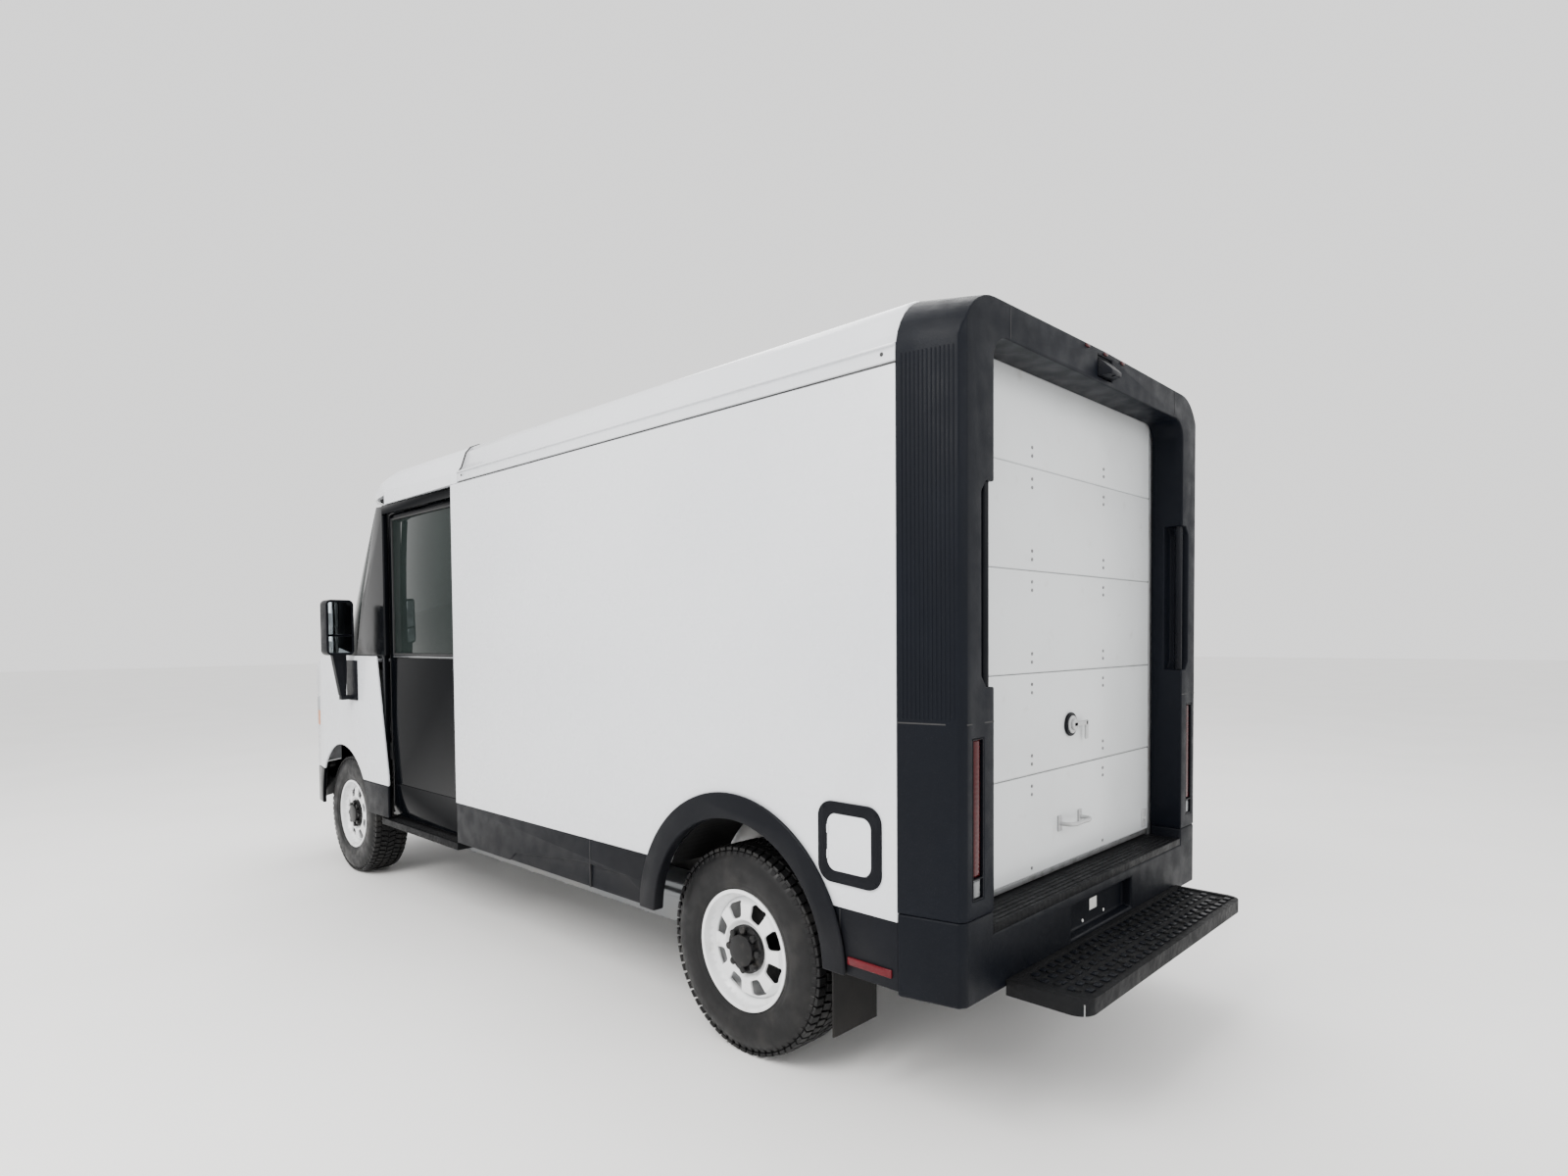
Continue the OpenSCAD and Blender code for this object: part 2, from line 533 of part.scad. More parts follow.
// ---- rear roll-up door ----
slat_y0 = curtain_y - slat_t;
module slat(z0, z1) difference() {
  block(-curtain_half, curtain_half, slat_y0, curtain_y, z0, z1);
  sweep_x(-curtain_half - e, curtain_half + e) polygon([[curtain_y - 6, z0 - e], [curtain_y + e, z0 - e],
    [curtain_y + e, z0 + 7]]);
  block(-curtain_half + 60, curtain_half - 60, slat_y0 - e, slat_y0 + 8, z0 + 46, z1 - 46);
}
module door_panels() set_down() color("#e6e8ea") for (i = [0:slats - 1])
  slat(curtain_bottom + i * door_pitch, curtain_bottom + (i + 1) * door_pitch - 2);
top_z = curtain_bottom + slats * door_pitch;
module door_top_panel() set_down() color("#e6e8ea") slat(top_z, top_z + top_slat);
track_x = curtain_half + 6;
module door_tracks() set_down() color("#9b9fa2") both() {
  block(track_x, opening_half + 20, slat_y0 - 22, curtain_y + 2, floor_height, header_bottom + 30);
  block(track_x, opening_half + 20, panel_rear - 1700, curtain_y + 2, header_bottom + 30, header_bottom + 70);
  for (i = [0:4]) block(opening_half + 20, half_w - 98, panel_rear - 1680 + i * 360, panel_rear - 1640 + i * 360,
    header_bottom + 44, header_bottom + 56);
}
rivet_x = 297;
latch_z = curtain_bottom + 530;
module door_fittings() set_down() color("#cfd2d4") {
  for (i = [0:slats - 1], s = [-1, 1]) {
    for (dz = [-70, -40, 40, 70]) if (i > 0)
      rod_y(s * rivet_x, curtain_bottom + i * door_pitch + dz, curtain_y, curtain_y + 3, 7);
    rod_y(s * rivet_x, curtain_bottom + 30, curtain_y, curtain_y + 3, 7);
  }
  for (s = [-1, 1]) {
    block(s * 85 - 14, s * 85 + 14, curtain_y, curtain_y + 8, curtain_bottom + 130, curtain_bottom + 190);
    rod_y(s * 85, curtain_bottom + 160, curtain_y + 8, curtain_y + 52, 8);
    block(s * (curtain_half - 46) - 22, s * (curtain_half - 46) + 22, curtain_y, curtain_y + 10,
      curtain_bottom + 16, curtain_bottom + 96);
  }
  rod_x(-93, 93, 8, curtain_y + 52, curtain_bottom + 160);
}
module latch_handle() set_down() color("#2b2d30") {
  rod_y(0, latch_z, curtain_y + 0.5, curtain_y + 16, 46);
  block(-112, 12, curtain_y + 16, curtain_y + 26, latch_z - 12, latch_z + 12);
  block(-112, -90, curtain_y + 16, curtain_y + 26, latch_z - 64, latch_z + 12);
}

// ---- cab ----
corner_y = -330;
glass_foot = corner_y;
head_y = 187;
head_z = panel_top + 72;
glass_t = 14;
fender_rear = door_front + 54;
function cab_plan(t) = [[0, y_nose + t], [420 * half_w / 1010, y_nose + 10 + t], [700 * half_w / 1010, y_nose + 60 + t],
  [half_w - 150 - t * 0.7, y_nose + 170 + t * 0.7], [half_w - 60 - t, y_nose + 330], [half_w - 24 - t, y_nose + 560],
  [half_w - 12 - t, 0], [half_w - 12 - t, fender_rear], [0, fender_rear]];
module cab_outline(t) polygon(mirrored(cab_plan(t)));
function glass_low(t) = [[0, corner_y + t], [520, corner_y + 34 + t], [half_w - 200 - t * 0.6, corner_y + 120 + t * 0.8],
  [half_w - 90 - t * 0.9, corner_y + 260 + t * 0.4], [half_w - 44 - t, corner_y + 460], [half_w - 36 - t, door_front - 4],
  [0, door_front - 4]];
function glass_high(t) = [[0, head_y + t], [480, head_y + 24 + t], [half_w - 270 - t * 0.6, head_y + 90 + t * 0.8],
  [half_w - 160 - t * 0.9, head_y + 190 + t * 0.4], [half_w - 96 - t, head_y + 330], [half_w - 60 - t, door_front - 4],
  [0, door_front - 4]];
module greenhouse(t, d) hull() {
  translate([0, 0, cowl_height - d]) linear_extrude(0.01) polygon(mirrored(glass_low(t)));
  translate([0, 0, head_z + d]) linear_extrude(0.01) polygon(mirrored(glass_high(t)));
}
module greenhouse_shell(t0, t1) difference() {
  greenhouse(t0, 0);
  greenhouse(t1, 1);
  block(-frame_x0 + 60, frame_x0 - 60, door_front - 60, door_front, 0, big);
}
// everything ahead of the pillar line, drawn in (Y, Z)
pillar_low = 250;
pillar_high = 500;
module ahead_of_pillar(d) polygon([[-2000, cowl_height - 10], [pillar_low - d, cowl_height - 10],
  [pillar_high - d, head_z + 10], [-2000, head_z + 10]]);
module below_roof_cut() sweep_x(-big, big) polygon([[head_y - 60, panel_top + 61], [head_y - 4, panel_top + 61],
  [head_y + 330, panel_top + 19], [door_front + 20, panel_top - 1], [door_front + 20, big], [head_y - 60, big]]);
module windscreen() set_down() color("#5d7478") difference() {
  intersection() {
    greenhouse_shell(0, glass_t);
    sweep_x(-big, big) ahead_of_pillar(1);
  }
  below_roof_cut();
}

pillar_rear = door_front - 4;
module cab_frame() set_down() color("#101215") {
  difference() {
    greenhouse_shell(0, 46);
    sweep_x(-big, big) ahead_of_pillar(0);
    below_roof_cut();
  }
  translate([0, 0, cowl_height - 20]) linear_extrude(19) difference() {
    polygon(mirrored(glass_low(0)));
    polygon(mirrored(glass_low(110)));
    translate([-half_w, door_front - 60]) square([body_width, 100]);
  }
  both() difference() {
    block(frame_x0, frame_x1, door_front - 34, panel_front - 2, door_bottom - 20, panel_top - 2);
    block(frame_x0 - e, frame_x1 + e, door_front + 6, door_rear + 2, door_bottom - 30, glass_top);
    block(frame_x0 - e, frame_x1 + e, door_front - 40, door_front + 2, cowl_height + 2, panel_top);
  }
  both() block(frame_x0, frame_x1, door_front - 4, door_front + 28, cowl_height + 2, panel_top - 62);
  both() block(door_x0 - 30, frame_x0, door_front + 2, panel_front - 2, glass_top + 22, panel_top - 2);
}

// side section of the cab roof in (Y, Z)
module cab_roof_side(t) polygon([[head_y - 4 + t * 1.4, panel_top + 62], [head_y + 18 + t * 1.4, panel_top + 92],
  [head_y + 110 + t, panel_top + 152 - t * 0.8], [head_y + 260 + t, panel_top + 200 - t], [head_y + 480, roof_height - 8 - t],
  [head_y + 800, roof_height - t], [seam_y, roof_height - t], [seam_y, panel_top], [door_front + 20, panel_top],
  [head_y + 330, panel_top + 20]]);
function roof_plan(t) = [[0, head_y - 4 + t], [480, head_y + 20 + t], [half_w - 268 - t * 0.6, head_y + 86 + t * 0.8],
  [half_w - 150 - t * 0.9, head_y + 190 + t * 0.5], [half_w - 70 - t, head_y + 360], [half_w - 24 - t, door_front + 80],
  [half_w + 2 - t, panel_front], [half_w + 2 - t, seam_y], [0, seam_y]];
module cab_roof_front(t) {
  p = concat([[0, panel_top], [half_w + 2 - t, panel_top], [half_w + 2 - t, rail_top - 10 - t / 3]], roof_half_section(t));
  polygon(mirrored(p));
}
module cab_roof_corner(t) rotate([0, 0, -35]) sweep_y(-big, big) translate([half_w - 1010, roof_height - 2660])
  polygon([[-big, 0], [540 - t, 0], [540 - t, 2440], [524 - t, 2476 - t / 2], [474 - t, 2508 - t * 0.7],
    [388 - t, 2562 - t * 0.9], [259 - t / 2, 2621 - t], [98, 2648 - t], [-60, 2658 - t], [-300, 2670 - t], [-big, 2670 - t]]);
module cab_roof_body(t) intersection() {
  cab_roof_corner(t);
  mirror([1, 0, 0]) cab_roof_corner(t);
  sweep_x(-big, big) cab_roof_side(t);
  sweep_y(-big, big) cab_roof_front(t);
  linear_extrude(big) polygon(mirrored(roof_plan(t)));
}
module cab_roof() set_down() color("#eef0f2") difference() {
  cab_roof_body(0);
  translate([0, 0, -0.5]) cab_roof_body(30);
  block(-half_w + 30, half_w - 30, head_y + 60, seam_y + e, panel_top - e, panel_top + 60);
  block(-door_x1, door_x1, seam_y - 60, seam_y + e, panel_top - e, rail_top + 20);
}

fender_z0 = floor_height - 8;
front_arch = well_r - 36;
front_arch_y = 25;
front_arch_z = axle_z + 41;
fascia_half = 700 * half_w / 1010;
hood_front = y_nose + 70;
module front_fenders() set_down() color("#eef0f2") difference() {
  translate([0, 0, fender_z0]) linear_extrude(cowl_height - 4 - fender_z0) difference() {
    cab_outline(0);
    cab_outline(fender_t);
    translate([-fascia_half, y_nose - e]) square([2 * fascia_half, front_overhang]);
    translate([-half_w + 60, fender_rear - e]) square([body_width - 120, 2]);
  }
  rod_x(-big, big, front_arch, front_arch_y, front_arch_z);
  sweep_x(-big, big) polygon([[-big, 1340], [y_nose + 120, 1340], [y_nose + 330, 1420],
    [corner_y + 40, cowl_height - 4], [corner_y + 40, big], [-big, big]]);
  both() block(half_w - 130, half_w, y_nose - e, y_nose + 420, 980, 1190);
  sweep_x(-big, big) polygon([[door_front - 96, big], [door_front - 96, cowl_height - 4],
    [fender_rear, fender_z0 + 60], [fender_rear + e, fender_z0 - e], [big, 0], [big, big]]);
}
module front_fascia() set_down() color("#1c1f24") {
  difference() {
    translate([0, 0, 430]) linear_extrude(880) difference() {
      cab_outline(0);
      cab_outline(22);
      translate([-big, -well_r + 160]) square([2 * big, big]);
    }
    both() block(fascia_half, big, -big, big, fender_z0 - 2, big);
    rod_x(-big, big, front_arch, front_arch_y, front_arch_z);
    both() block(430, fascia_half + e, y_nose - 10, y_nose + 200, 960, 1130);
    for (i = [0:3]) block(-380, 380, y_nose - 10, y_nose + 60, 620 + i * 60, 650 + i * 60);
  }
  block(-rail_half, rail_half, y_nose + 50, y_nose + 130, 500, 560);
  both() block(rail_half - rail_w, rail_half, y_nose + 130, rail_front, 500, 560);
  both() block(rail_half - rail_w, rail_half, y_nose + 20, y_nose + 50, 510, 550);
}
module front_lamps() set_down() color("#d8dde2") both() {
  translate([0, 0, 962]) linear_extrude(166) intersection() {
    difference() {
      cab_outline(2);
      cab_outline(60);
    }
    translate([432, y_nose]) square([fascia_half - 434, 190]);
  }
  translate([0, 0, 950]) linear_extrude(190) intersection() {
    difference() {
      cab_outline(22);
      cab_outline(40);
    }
    translate([420, y_nose]) square([fascia_half - 424, 190]);
  }
  translate([0, 0, 984]) linear_extrude(202) intersection() {
    difference() {
      cab_outline(1);
      cab_outline(22);
    }
    translate([half_w - 128, y_nose + 60]) square([200, 356]);
  }
  translate([0, 0, 972]) linear_extrude(226) intersection() {
    difference() {
      cab_outline(fender_t);
      cab_outline(24);
    }
    translate([half_w - 140, y_nose + 60]) square([200, 370]);
  }
}
module hood() set_down() color("#eef0f2") intersection() {
  sweep_x(-big, big) polygon([[y_nose + 22, 1316], [y_nose + 100, 1336], [y_nose + 320, 1416],
    [corner_y + 2, cowl_height - 22], [corner_y + 2, cowl_height - 46], [y_nose + 320, 1390],
    [y_nose + 100, 1312], [y_nose + 22, 1312]]);
  linear_extrude(big) cab_outline(fender_t + 4);
  block(-half_w + 66, half_w - 66, -big, big, 0, big);
}

mirror_y = 255;
mirror_px = half_w + 52;
mirror_z0 = 1235;
module mirror_bases() set_down() color("#16181b") both() {
  block(half_w - 12, half_w + 2, mirror_y - 70, mirror_y + 90, mirror_z0 - 34, mirror_z0 + 227);
  block(half_w + 2, mirror_px + 16, mirror_y - 24, mirror_y + 24, mirror_z0 - 30, mirror_z0 - 1);
}
module mirror_set() color("#16181b") {
  rod_z(mirror_px, mirror_y, mirror_z0, 1390, 22);
  sweep_y(mirror_y - 22, mirror_y + 24) polygon([[mirror_px - 14, mirror_z0], [mirror_px + 20, mirror_z0],
    [mirror_px + 66, 1500], [mirror_px - 20, 1500], [mirror_px - 20, 1400]]);
  translate([mirror_px + 25, mirror_y + 52, 1676]) rotate([90, 0, 0]) difference() {
    linear_extrude(104) rounded(170, 360, 34);
    translate([0, 0, -e]) linear_extrude(9) rounded(146, 336, 26);
  }
  translate([mirror_px + 25, mirror_y + 52, 1676]) rotate([90, 0, 0]) translate([0, 60, 1]) linear_extrude(6.5)
    rounded(144, 214, 26);
  translate([mirror_px + 25, mirror_y + 52, 1676]) rotate([90, 0, 0]) translate([0, -110, 1]) linear_extrude(6.5)
    rounded(144, 112, 26);
}
module mirror_left() set_down() mirror_set();
module mirror_right() set_down() mirror([1, 0, 0]) mirror_set();

// a cab door slides back between the side panel and the pocket wall
glass_sill = 1490;
module cab_door() color("#14171a") {
  difference() {
    block(door_x0, door_x1, door_front + 8, door_rear + 26, door_bottom, glass_top + 14);
    block(door_x0 - e, door_x1 + e, door_front + 62, door_rear - 26, glass_sill + 18, glass_top - 36);
    block(door_x1 - 5, door_x1 + e, door_front + 62, door_rear - 26, 700, 704);
  }
  block(door_x1, door_x1 + 5, door_front + 62, door_rear - 2, glass_sill - 6, glass_sill + 10);
}
module cab_glass() color("#5c696b")
  block(door_x1 - 14, door_x1 - 8, door_front + 62, door_rear - 26, glass_sill + 18, glass_top - 36);
module cab_door_left() set_down() cab_door();
module cab_door_right() set_down() mirror([1, 0, 0]) cab_door();
module door_glass_left() set_down() cab_glass();
module door_glass_right() set_down() mirror([1, 0, 0]) cab_glass();

dash_half = floor_half - 70;
wheel_x = 430;
wheel_y = 620;
wheel_z = 1190;
wheel_tilt = 118;
module dashboard() set_down() color("#2a2d31") {
  difference() {
    sweep_x(-dash_half, dash_half) polygon([[80, 1010], [420, 960], [500, 1060], [470, 1300], [380, 1380],
      [60, 1440], [-120, 1440], [-120, 1400], [40, 1380]]);
    translate([wheel_x, 500, 1230]) rotate([-20, 0, 0]) translate([-150, -20, -50]) cube([300, 60, 120]);
  }
  translate([wheel_x, wheel_y, wheel_z]) rotate([wheel_tilt, 0, 0]) rod_z(0, 0, 24, 180, 30);
  both() block(dash_half - 60, dash_half, 120, 300, house_top + 14, 1004);
}
module steering_wheel() set_down() color("#1a1b1d")
  translate([wheel_x, wheel_y, wheel_z]) rotate([wheel_tilt, 0, 0]) {
    rotate_extrude($fn = 96) translate([195, 0]) circle(14);
    rod_z(0, 0, -18, 23.5, 52);
    for (a = [0, 180, 270]) rotate(a) block(46, 184, -17, 17, -8, 4);
  }
seat_y = 960;
module driver_seat() set_down() color("#26282b") {
  block(wheel_x - 190, wheel_x + 190, seat_y + 60, seat_y + 430, cab_z + 40.5, cab_z + 240);
  block(wheel_x - 240, wheel_x + 240, seat_y, seat_y + 500, cab_z + 240, cab_z + 360);
  sweep_x(wheel_x - 230, wheel_x + 230) polygon([[seat_y + 400, cab_z + 360], [seat_y + 500, cab_z + 360],
    [seat_y + 640, cab_z + 960], [seat_y + 540, cab_z + 980]]);
  sweep_x(wheel_x - 120, wheel_x + 120) polygon([[seat_y + 546, cab_z + 1000], [seat_y + 620, cab_z + 990],
    [seat_y + 640, cab_z + 1150], [seat_y + 580, cab_z + 1160]]);
  for (s = [-1, 1]) block(wheel_x + s * 60 - 7, wheel_x + s * 60 + 7, seat_y + 576, seat_y + 590, cab_z + 960, cab_z + 1010);
}

frame_rails();
battery_pack();
front_axle();
rear_axle();
cab_floor();
cargo_floor();
side_panel_left();
side_panel_right();
bulkhead();
cargo_roof();
roof_rails();
cab_roof();
cab_frame();
windscreen();
front_fenders();
front_fascia();
front_lamps();
side_reflectors();
lower_skirts();
arch_flares();
mud_flaps();
tread_plates();
rear_portal();
rear_bumper();
rear_step();
tail_lamps();
header_lamps();
grab_bars();
door_tracks();
charge_frame();
mirror_bases();
dashboard();
wheel_front_left();
wheel_front_right();
wheel_rear_left();
wheel_rear_right();
tyre_front_left();
tyre_front_right();
tyre_rear_left();
tyre_rear_right();
hub_front_left();
hub_front_right();
hub_rear_left();
hub_rear_right();
knuckle_left();
knuckle_right();
steering_wheel();
cab_door_left();
cab_door_right();
door_glass_left();
door_glass_right();
hood();
mirror_left();
mirror_right();
charge_door();
door_panels();
door_top_panel();
door_fittings();
latch_handle();
driver_seat();
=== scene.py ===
import json
import math
import bpy
from mathutils import Matrix, Vector


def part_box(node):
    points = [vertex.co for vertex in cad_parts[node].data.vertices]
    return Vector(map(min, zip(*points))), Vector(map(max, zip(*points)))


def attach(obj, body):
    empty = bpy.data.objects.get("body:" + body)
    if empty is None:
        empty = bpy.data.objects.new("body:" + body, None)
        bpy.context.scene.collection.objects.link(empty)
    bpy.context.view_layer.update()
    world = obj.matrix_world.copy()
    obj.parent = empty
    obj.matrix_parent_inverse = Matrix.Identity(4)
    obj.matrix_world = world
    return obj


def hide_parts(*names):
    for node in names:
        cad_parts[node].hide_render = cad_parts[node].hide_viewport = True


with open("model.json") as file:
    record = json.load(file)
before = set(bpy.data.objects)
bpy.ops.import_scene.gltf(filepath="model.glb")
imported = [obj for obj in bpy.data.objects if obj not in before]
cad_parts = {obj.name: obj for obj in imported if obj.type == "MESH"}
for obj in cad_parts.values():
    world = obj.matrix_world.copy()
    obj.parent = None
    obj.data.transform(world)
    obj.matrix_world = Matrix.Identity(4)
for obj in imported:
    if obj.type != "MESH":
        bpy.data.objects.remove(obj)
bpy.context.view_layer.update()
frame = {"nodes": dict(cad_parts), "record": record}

# ---- camera, floor and light ----
# A low three-quarter view from the left rear, on a wide pale floor under an even pale sky. Three
# large soft lamps light the flank, the rear door and the roof.

CAMERA_AT = Vector((3.2005, 4.1601, 1.5947))
CAMERA_AZIMUTH, CAMERA_RISE, CAMERA_ROLL = map(math.radians, (-134.233, -1.763, -0.459))


def camera_axes(azimuth, rise, roll):
    forward = Vector((math.sin(azimuth) * math.cos(rise), math.cos(azimuth) * math.cos(rise),
        math.sin(rise)))
    right = forward.cross(Vector((0, 0, 1))).normalized()
    up = right.cross(forward)
    turned_right = right * math.cos(roll) + up * math.sin(roll)
    turned_up = up * math.cos(roll) - right * math.sin(roll)
    return Matrix((turned_right, turned_up, -forward)).transposed()


camera_data = bpy.data.cameras.new("camera")
camera_data.sensor_width = 36
camera_data.lens = 20.1555
camera_data.shift_x, camera_data.shift_y = 0.0055, 0.0483125
camera_data.clip_end = 200
camera = bpy.data.objects.new("camera", camera_data)
bpy.context.collection.objects.link(camera)
camera.matrix_world = Matrix.Translation(CAMERA_AT) @ camera_axes(CAMERA_AZIMUTH, CAMERA_RISE,
    CAMERA_ROLL).to_4x4()
bpy.context.scene.camera = camera


class Val:
    """A number that a material works out over the surface."""

    def __init__(self, finish, socket):
        self.finish, self.socket = finish, socket

    def _math(self, operation, first, second):
        node = self.finish.add("ShaderNodeMath", {"operation": operation}, {0: first, 1: second})
        return Val(self.finish, node.outputs[0])

    def __add__(self, other): return self._math("ADD", self, other)
    def __radd__(self, other): return self._math("ADD", other, self)
    def __sub__(self, other): return self._math("SUBTRACT", self, other)
    def __rsub__(self, other): return self._math("SUBTRACT", other, self)
    def __mul__(self, other): return self._math("MULTIPLY", self, other)
    def __rmul__(self, other): return self._math("MULTIPLY", other, self)
    def __gt__(self, other): return self._math("GREATER_THAN", self, other)
    def __lt__(self, other): return self._math("LESS_THAN", self, other)
    def abs(self): return self._math("ABSOLUTE", self, 0)
    def sine(self): return self._math("SINE", self, 0)

    def ramp(self, low, high, out_low=0.0, out_high=1.0):
        node = self.finish.add("ShaderNodeMapRange", {"interpolation_type": "SMOOTHSTEP", "clamp": True},
            {0: self, 1: low, 2: high, 3: out_low, 4: out_high})
        return Val(self.finish, node.outputs[0])


class Finish:
    """A material: a Principled surface whose colour, roughness and relief are worked out from its place."""

    def __init__(self, name, colour, roughness, **sockets):
        self.material = bpy.data.materials.new(name)
        self.material.use_nodes = True
        self.tree = self.material.node_tree
        self.surface = self.tree.nodes["Principled BSDF"]
        self.colour, self.roughness = colour, roughness
        self.set("Base Color", self.rgba(colour))
        self.set("Roughness", roughness)
        for key, value in sockets.items():
            self.set(key.replace("_", " "), value)
        self.heights = None

    def rgba(self, colour):
        return colour if not isinstance(colour, tuple) or len(colour) == 4 else (*colour, 1)

    def put(self, socket, value):
        if isinstance(value, Val):
            value = value.socket
        if isinstance(value, bpy.types.NodeSocket):
            self.tree.links.new(value, socket)
        else:
            socket.default_value = value

    def set(self, name, value):
        self.put(self.surface.inputs[name], value)

    def add(self, kind, settings=None, values=None):
        node = self.tree.nodes.new(kind)
        for key, value in (settings or {}).items():
            setattr(node, key, value)
        for key, value in (values or {}).items():
            self.put(node.inputs[key], value)
        return node

    def place(self, stretch=(1, 1, 1)):
        at = self.add("ShaderNodeTexCoord").outputs["Object"]
        if stretch == (1, 1, 1):
            return at
        return self.add("ShaderNodeMapping", None, {"Vector": at, "Scale": stretch}).outputs[0]

    def axis(self, letter):
        return Val(self, self.add("ShaderNodeSeparateXYZ", None,
            {0: self.place()}).outputs["XYZ".index(letter)])

    def noise(self, scale, detail=2.0, stretch=(1, 1, 1), rough=0.5):
        node = self.add("ShaderNodeTexNoise", None, {"Vector": self.place(stretch), "Scale": scale,
            "Detail": detail, "Roughness": rough})
        return Val(self, node.outputs[0])

    def grit(self, scale, stretch=(1, 1, 1)):
        node = self.add("ShaderNodeTexVoronoi", None, {"Vector": self.place(stretch), "Scale": scale})
        return Val(self, node.outputs[0])

    def tint(self, colour, amount):
        node = self.add("ShaderNodeMix", {"data_type": "RGBA"}, {"Factor": amount})
        self.put(node.inputs[6], self.rgba(self.colour))
        self.put(node.inputs[7], self.rgba(colour))
        self.colour = node.outputs[2]
        self.set("Base Color", self.colour)
        return self

    def roughen(self, amount):
        self.roughness = amount + self.roughness if isinstance(amount, Val) else self.roughness + amount
        self.set("Roughness", self.roughness)
        return self

    def relief(self, height, depth, strength=1.0):
        values = {"Height": height, "Distance": depth, "Strength": strength}
        if self.heights is not None:
            values["Normal"] = self.heights
        self.heights = self.add("ShaderNodeBump", None, values).outputs[0]
        self.set("Normal", self.heights)
        return self


floor_finish = Finish("studio_floor", (0.90, 0.895, 0.885), 0.62)
floor_finish.tint((0.85, 0.845, 0.835), floor_finish.noise(0.8, 3.0).ramp(0.3, 0.7, 0.0, 0.5))
bpy.ops.mesh.primitive_plane_add(size=120, location=(0, 0, 0))
studio_floor = bpy.context.object
studio_floor.name = "studio_floor"
studio_floor.data.materials.append(floor_finish.material)

world = bpy.data.worlds.new("studio")
bpy.context.scene.world = world
world.use_nodes = True
world.node_tree.nodes["Background"].inputs[0].default_value = (0.95, 0.945, 0.94, 1)
world.node_tree.nodes["Background"].inputs[1].default_value = 1.55


def soft_lamp(name, at, aim, size, power, colour=(1, 1, 1)):
    data = bpy.data.lights.new(name, "AREA")
    data.shape, data.size, data.energy, data.color = "SQUARE", size, power, colour
    lamp = bpy.data.objects.new(name, data)
    bpy.context.collection.objects.link(lamp)
    lamp.location = at
    lamp.rotation_euler = (Vector(aim) - Vector(at)).to_track_quat("-Z", "Y").to_euler()


soft_lamp("key_lamp", (7.5, 1.5, 7.5), (0, 0, 1.2), 5.0, 1050, (1, 0.985, 0.96))
soft_lamp("rear_lamp", (1.0, 10.5, 5.5), (0, 2, 1.2), 4.0, 300)
soft_lamp("top_lamp", (-3.0, -2.0, 9.0), (0, 0, 1.5), 6.0, 500)

# ---- frame rails, battery and axles ----
# Welded steel rails in chassis black, a grey battery case hung between them, and cast front and
# rear axle parts bolted below. Each piece keeps its CAD shape, with its edges eased.

MERGE = 0.00002
node_body = {node: body for body, nodes in frame["record"]["behaviour"]["bodies"].items() for node in nodes}


def nothing_selected():
    if bpy.context.object is not None and bpy.context.object.mode != "OBJECT":
        bpy.ops.object.mode_set(mode="OBJECT")
    bpy.ops.object.select_all(action="DESELECT")


def pick(piece):
    nothing_selected()
    piece.select_set(True)
    bpy.context.view_layer.objects.active = piece


def apply_modifier(piece, kind, **settings):
    pick(piece)
    modifier = piece.modifiers.new(kind.lower(), kind)
    for key, value in settings.items():
        setattr(modifier, key, value)
    bpy.ops.object.modifier_apply(modifier=modifier.name)


def smooth(piece, degrees=35):
    pick(piece)
    bpy.ops.object.shade_smooth_by_angle(angle=math.radians(degrees))


def eased(piece, width, segments=2, degrees=30):
    apply_modifier(piece, "BEVEL", width=width, segments=segments, limit_method="ANGLE",
        angle_limit=math.radians(degrees), use_clamp_overlap=True, loop_slide=False)
    smooth(piece)


def wear(piece, finish):
    piece.data.materials.clear()
    piece.data.materials.append(finish.material)


def fix(piece, body, finish, replaces=()):
    wear(piece, finish)
    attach(piece, body)
    if replaces:
        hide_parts(*replaces)
    return piece


def dressed(node, finish, width=0.003, segments=2, degrees=30):
    """The CAD shape of a node, welded into one skin, with its sharp edges eased and its own finish."""
    source = frame["nodes"][node]
    pick(source)
    bpy.ops.object.duplicate()
    piece = bpy.context.object
    piece.parent = None
    piece.matrix_world = Matrix.Identity(4)
    piece.name = node + "_body"
    piece.data.name = piece.name
    bpy.ops.object.mode_set(mode="EDIT")
    bpy.ops.mesh.select_all(action="SELECT")
    bpy.ops.mesh.remove_doubles(threshold=MERGE)
    bpy.ops.mesh.dissolve_limited(angle_limit=math.radians(0.4))
    bpy.ops.object.mode_set(mode="OBJECT")
    if width:
        eased(piece, width, segments, degrees)
    smooth(piece)
    return fix(piece, node_body[node], finish, (node,))


def road_film(finish, top, dust=(0.30, 0.28, 0.25), most=0.35):
    """Dust thrown up by the wheels: thickest near the ground and gone by the given height."""
    spread = finish.axis("Z").ramp(0.1, top, most, 0.0) * finish.noise(3.0, 4.0).ramp(0.3, 0.75)
    finish.tint(dust, spread)
    finish.roughen(spread * 0.35)


chassis_black = Finish("chassis_black", (0.008, 0.008, 0.009), 0.5, IOR=1.25)
chassis_black.relief(chassis_black.noise(140, 3.0), 0.0012, 0.35)
road_film(chassis_black, 0.9, most=0.5)
case_grey = Finish("battery_case_grey", (0.17, 0.18, 0.19), 0.42, Metallic=0.6)
case_grey.relief(case_grey.noise(60, 3.0), 0.001, 0.3)
road_film(case_grey, 0.6, most=0.6)
cast_metal = Finish("cast_metal", (0.075, 0.076, 0.08), 0.55, Metallic=0.7)
cast_metal.relief(cast_metal.noise(220, 4.0), 0.0015, 0.6)
cast_metal.tint((0.16, 0.075, 0.035), cast_metal.noise(26, 4.0).ramp(0.58, 0.72, 0.0, 0.5))

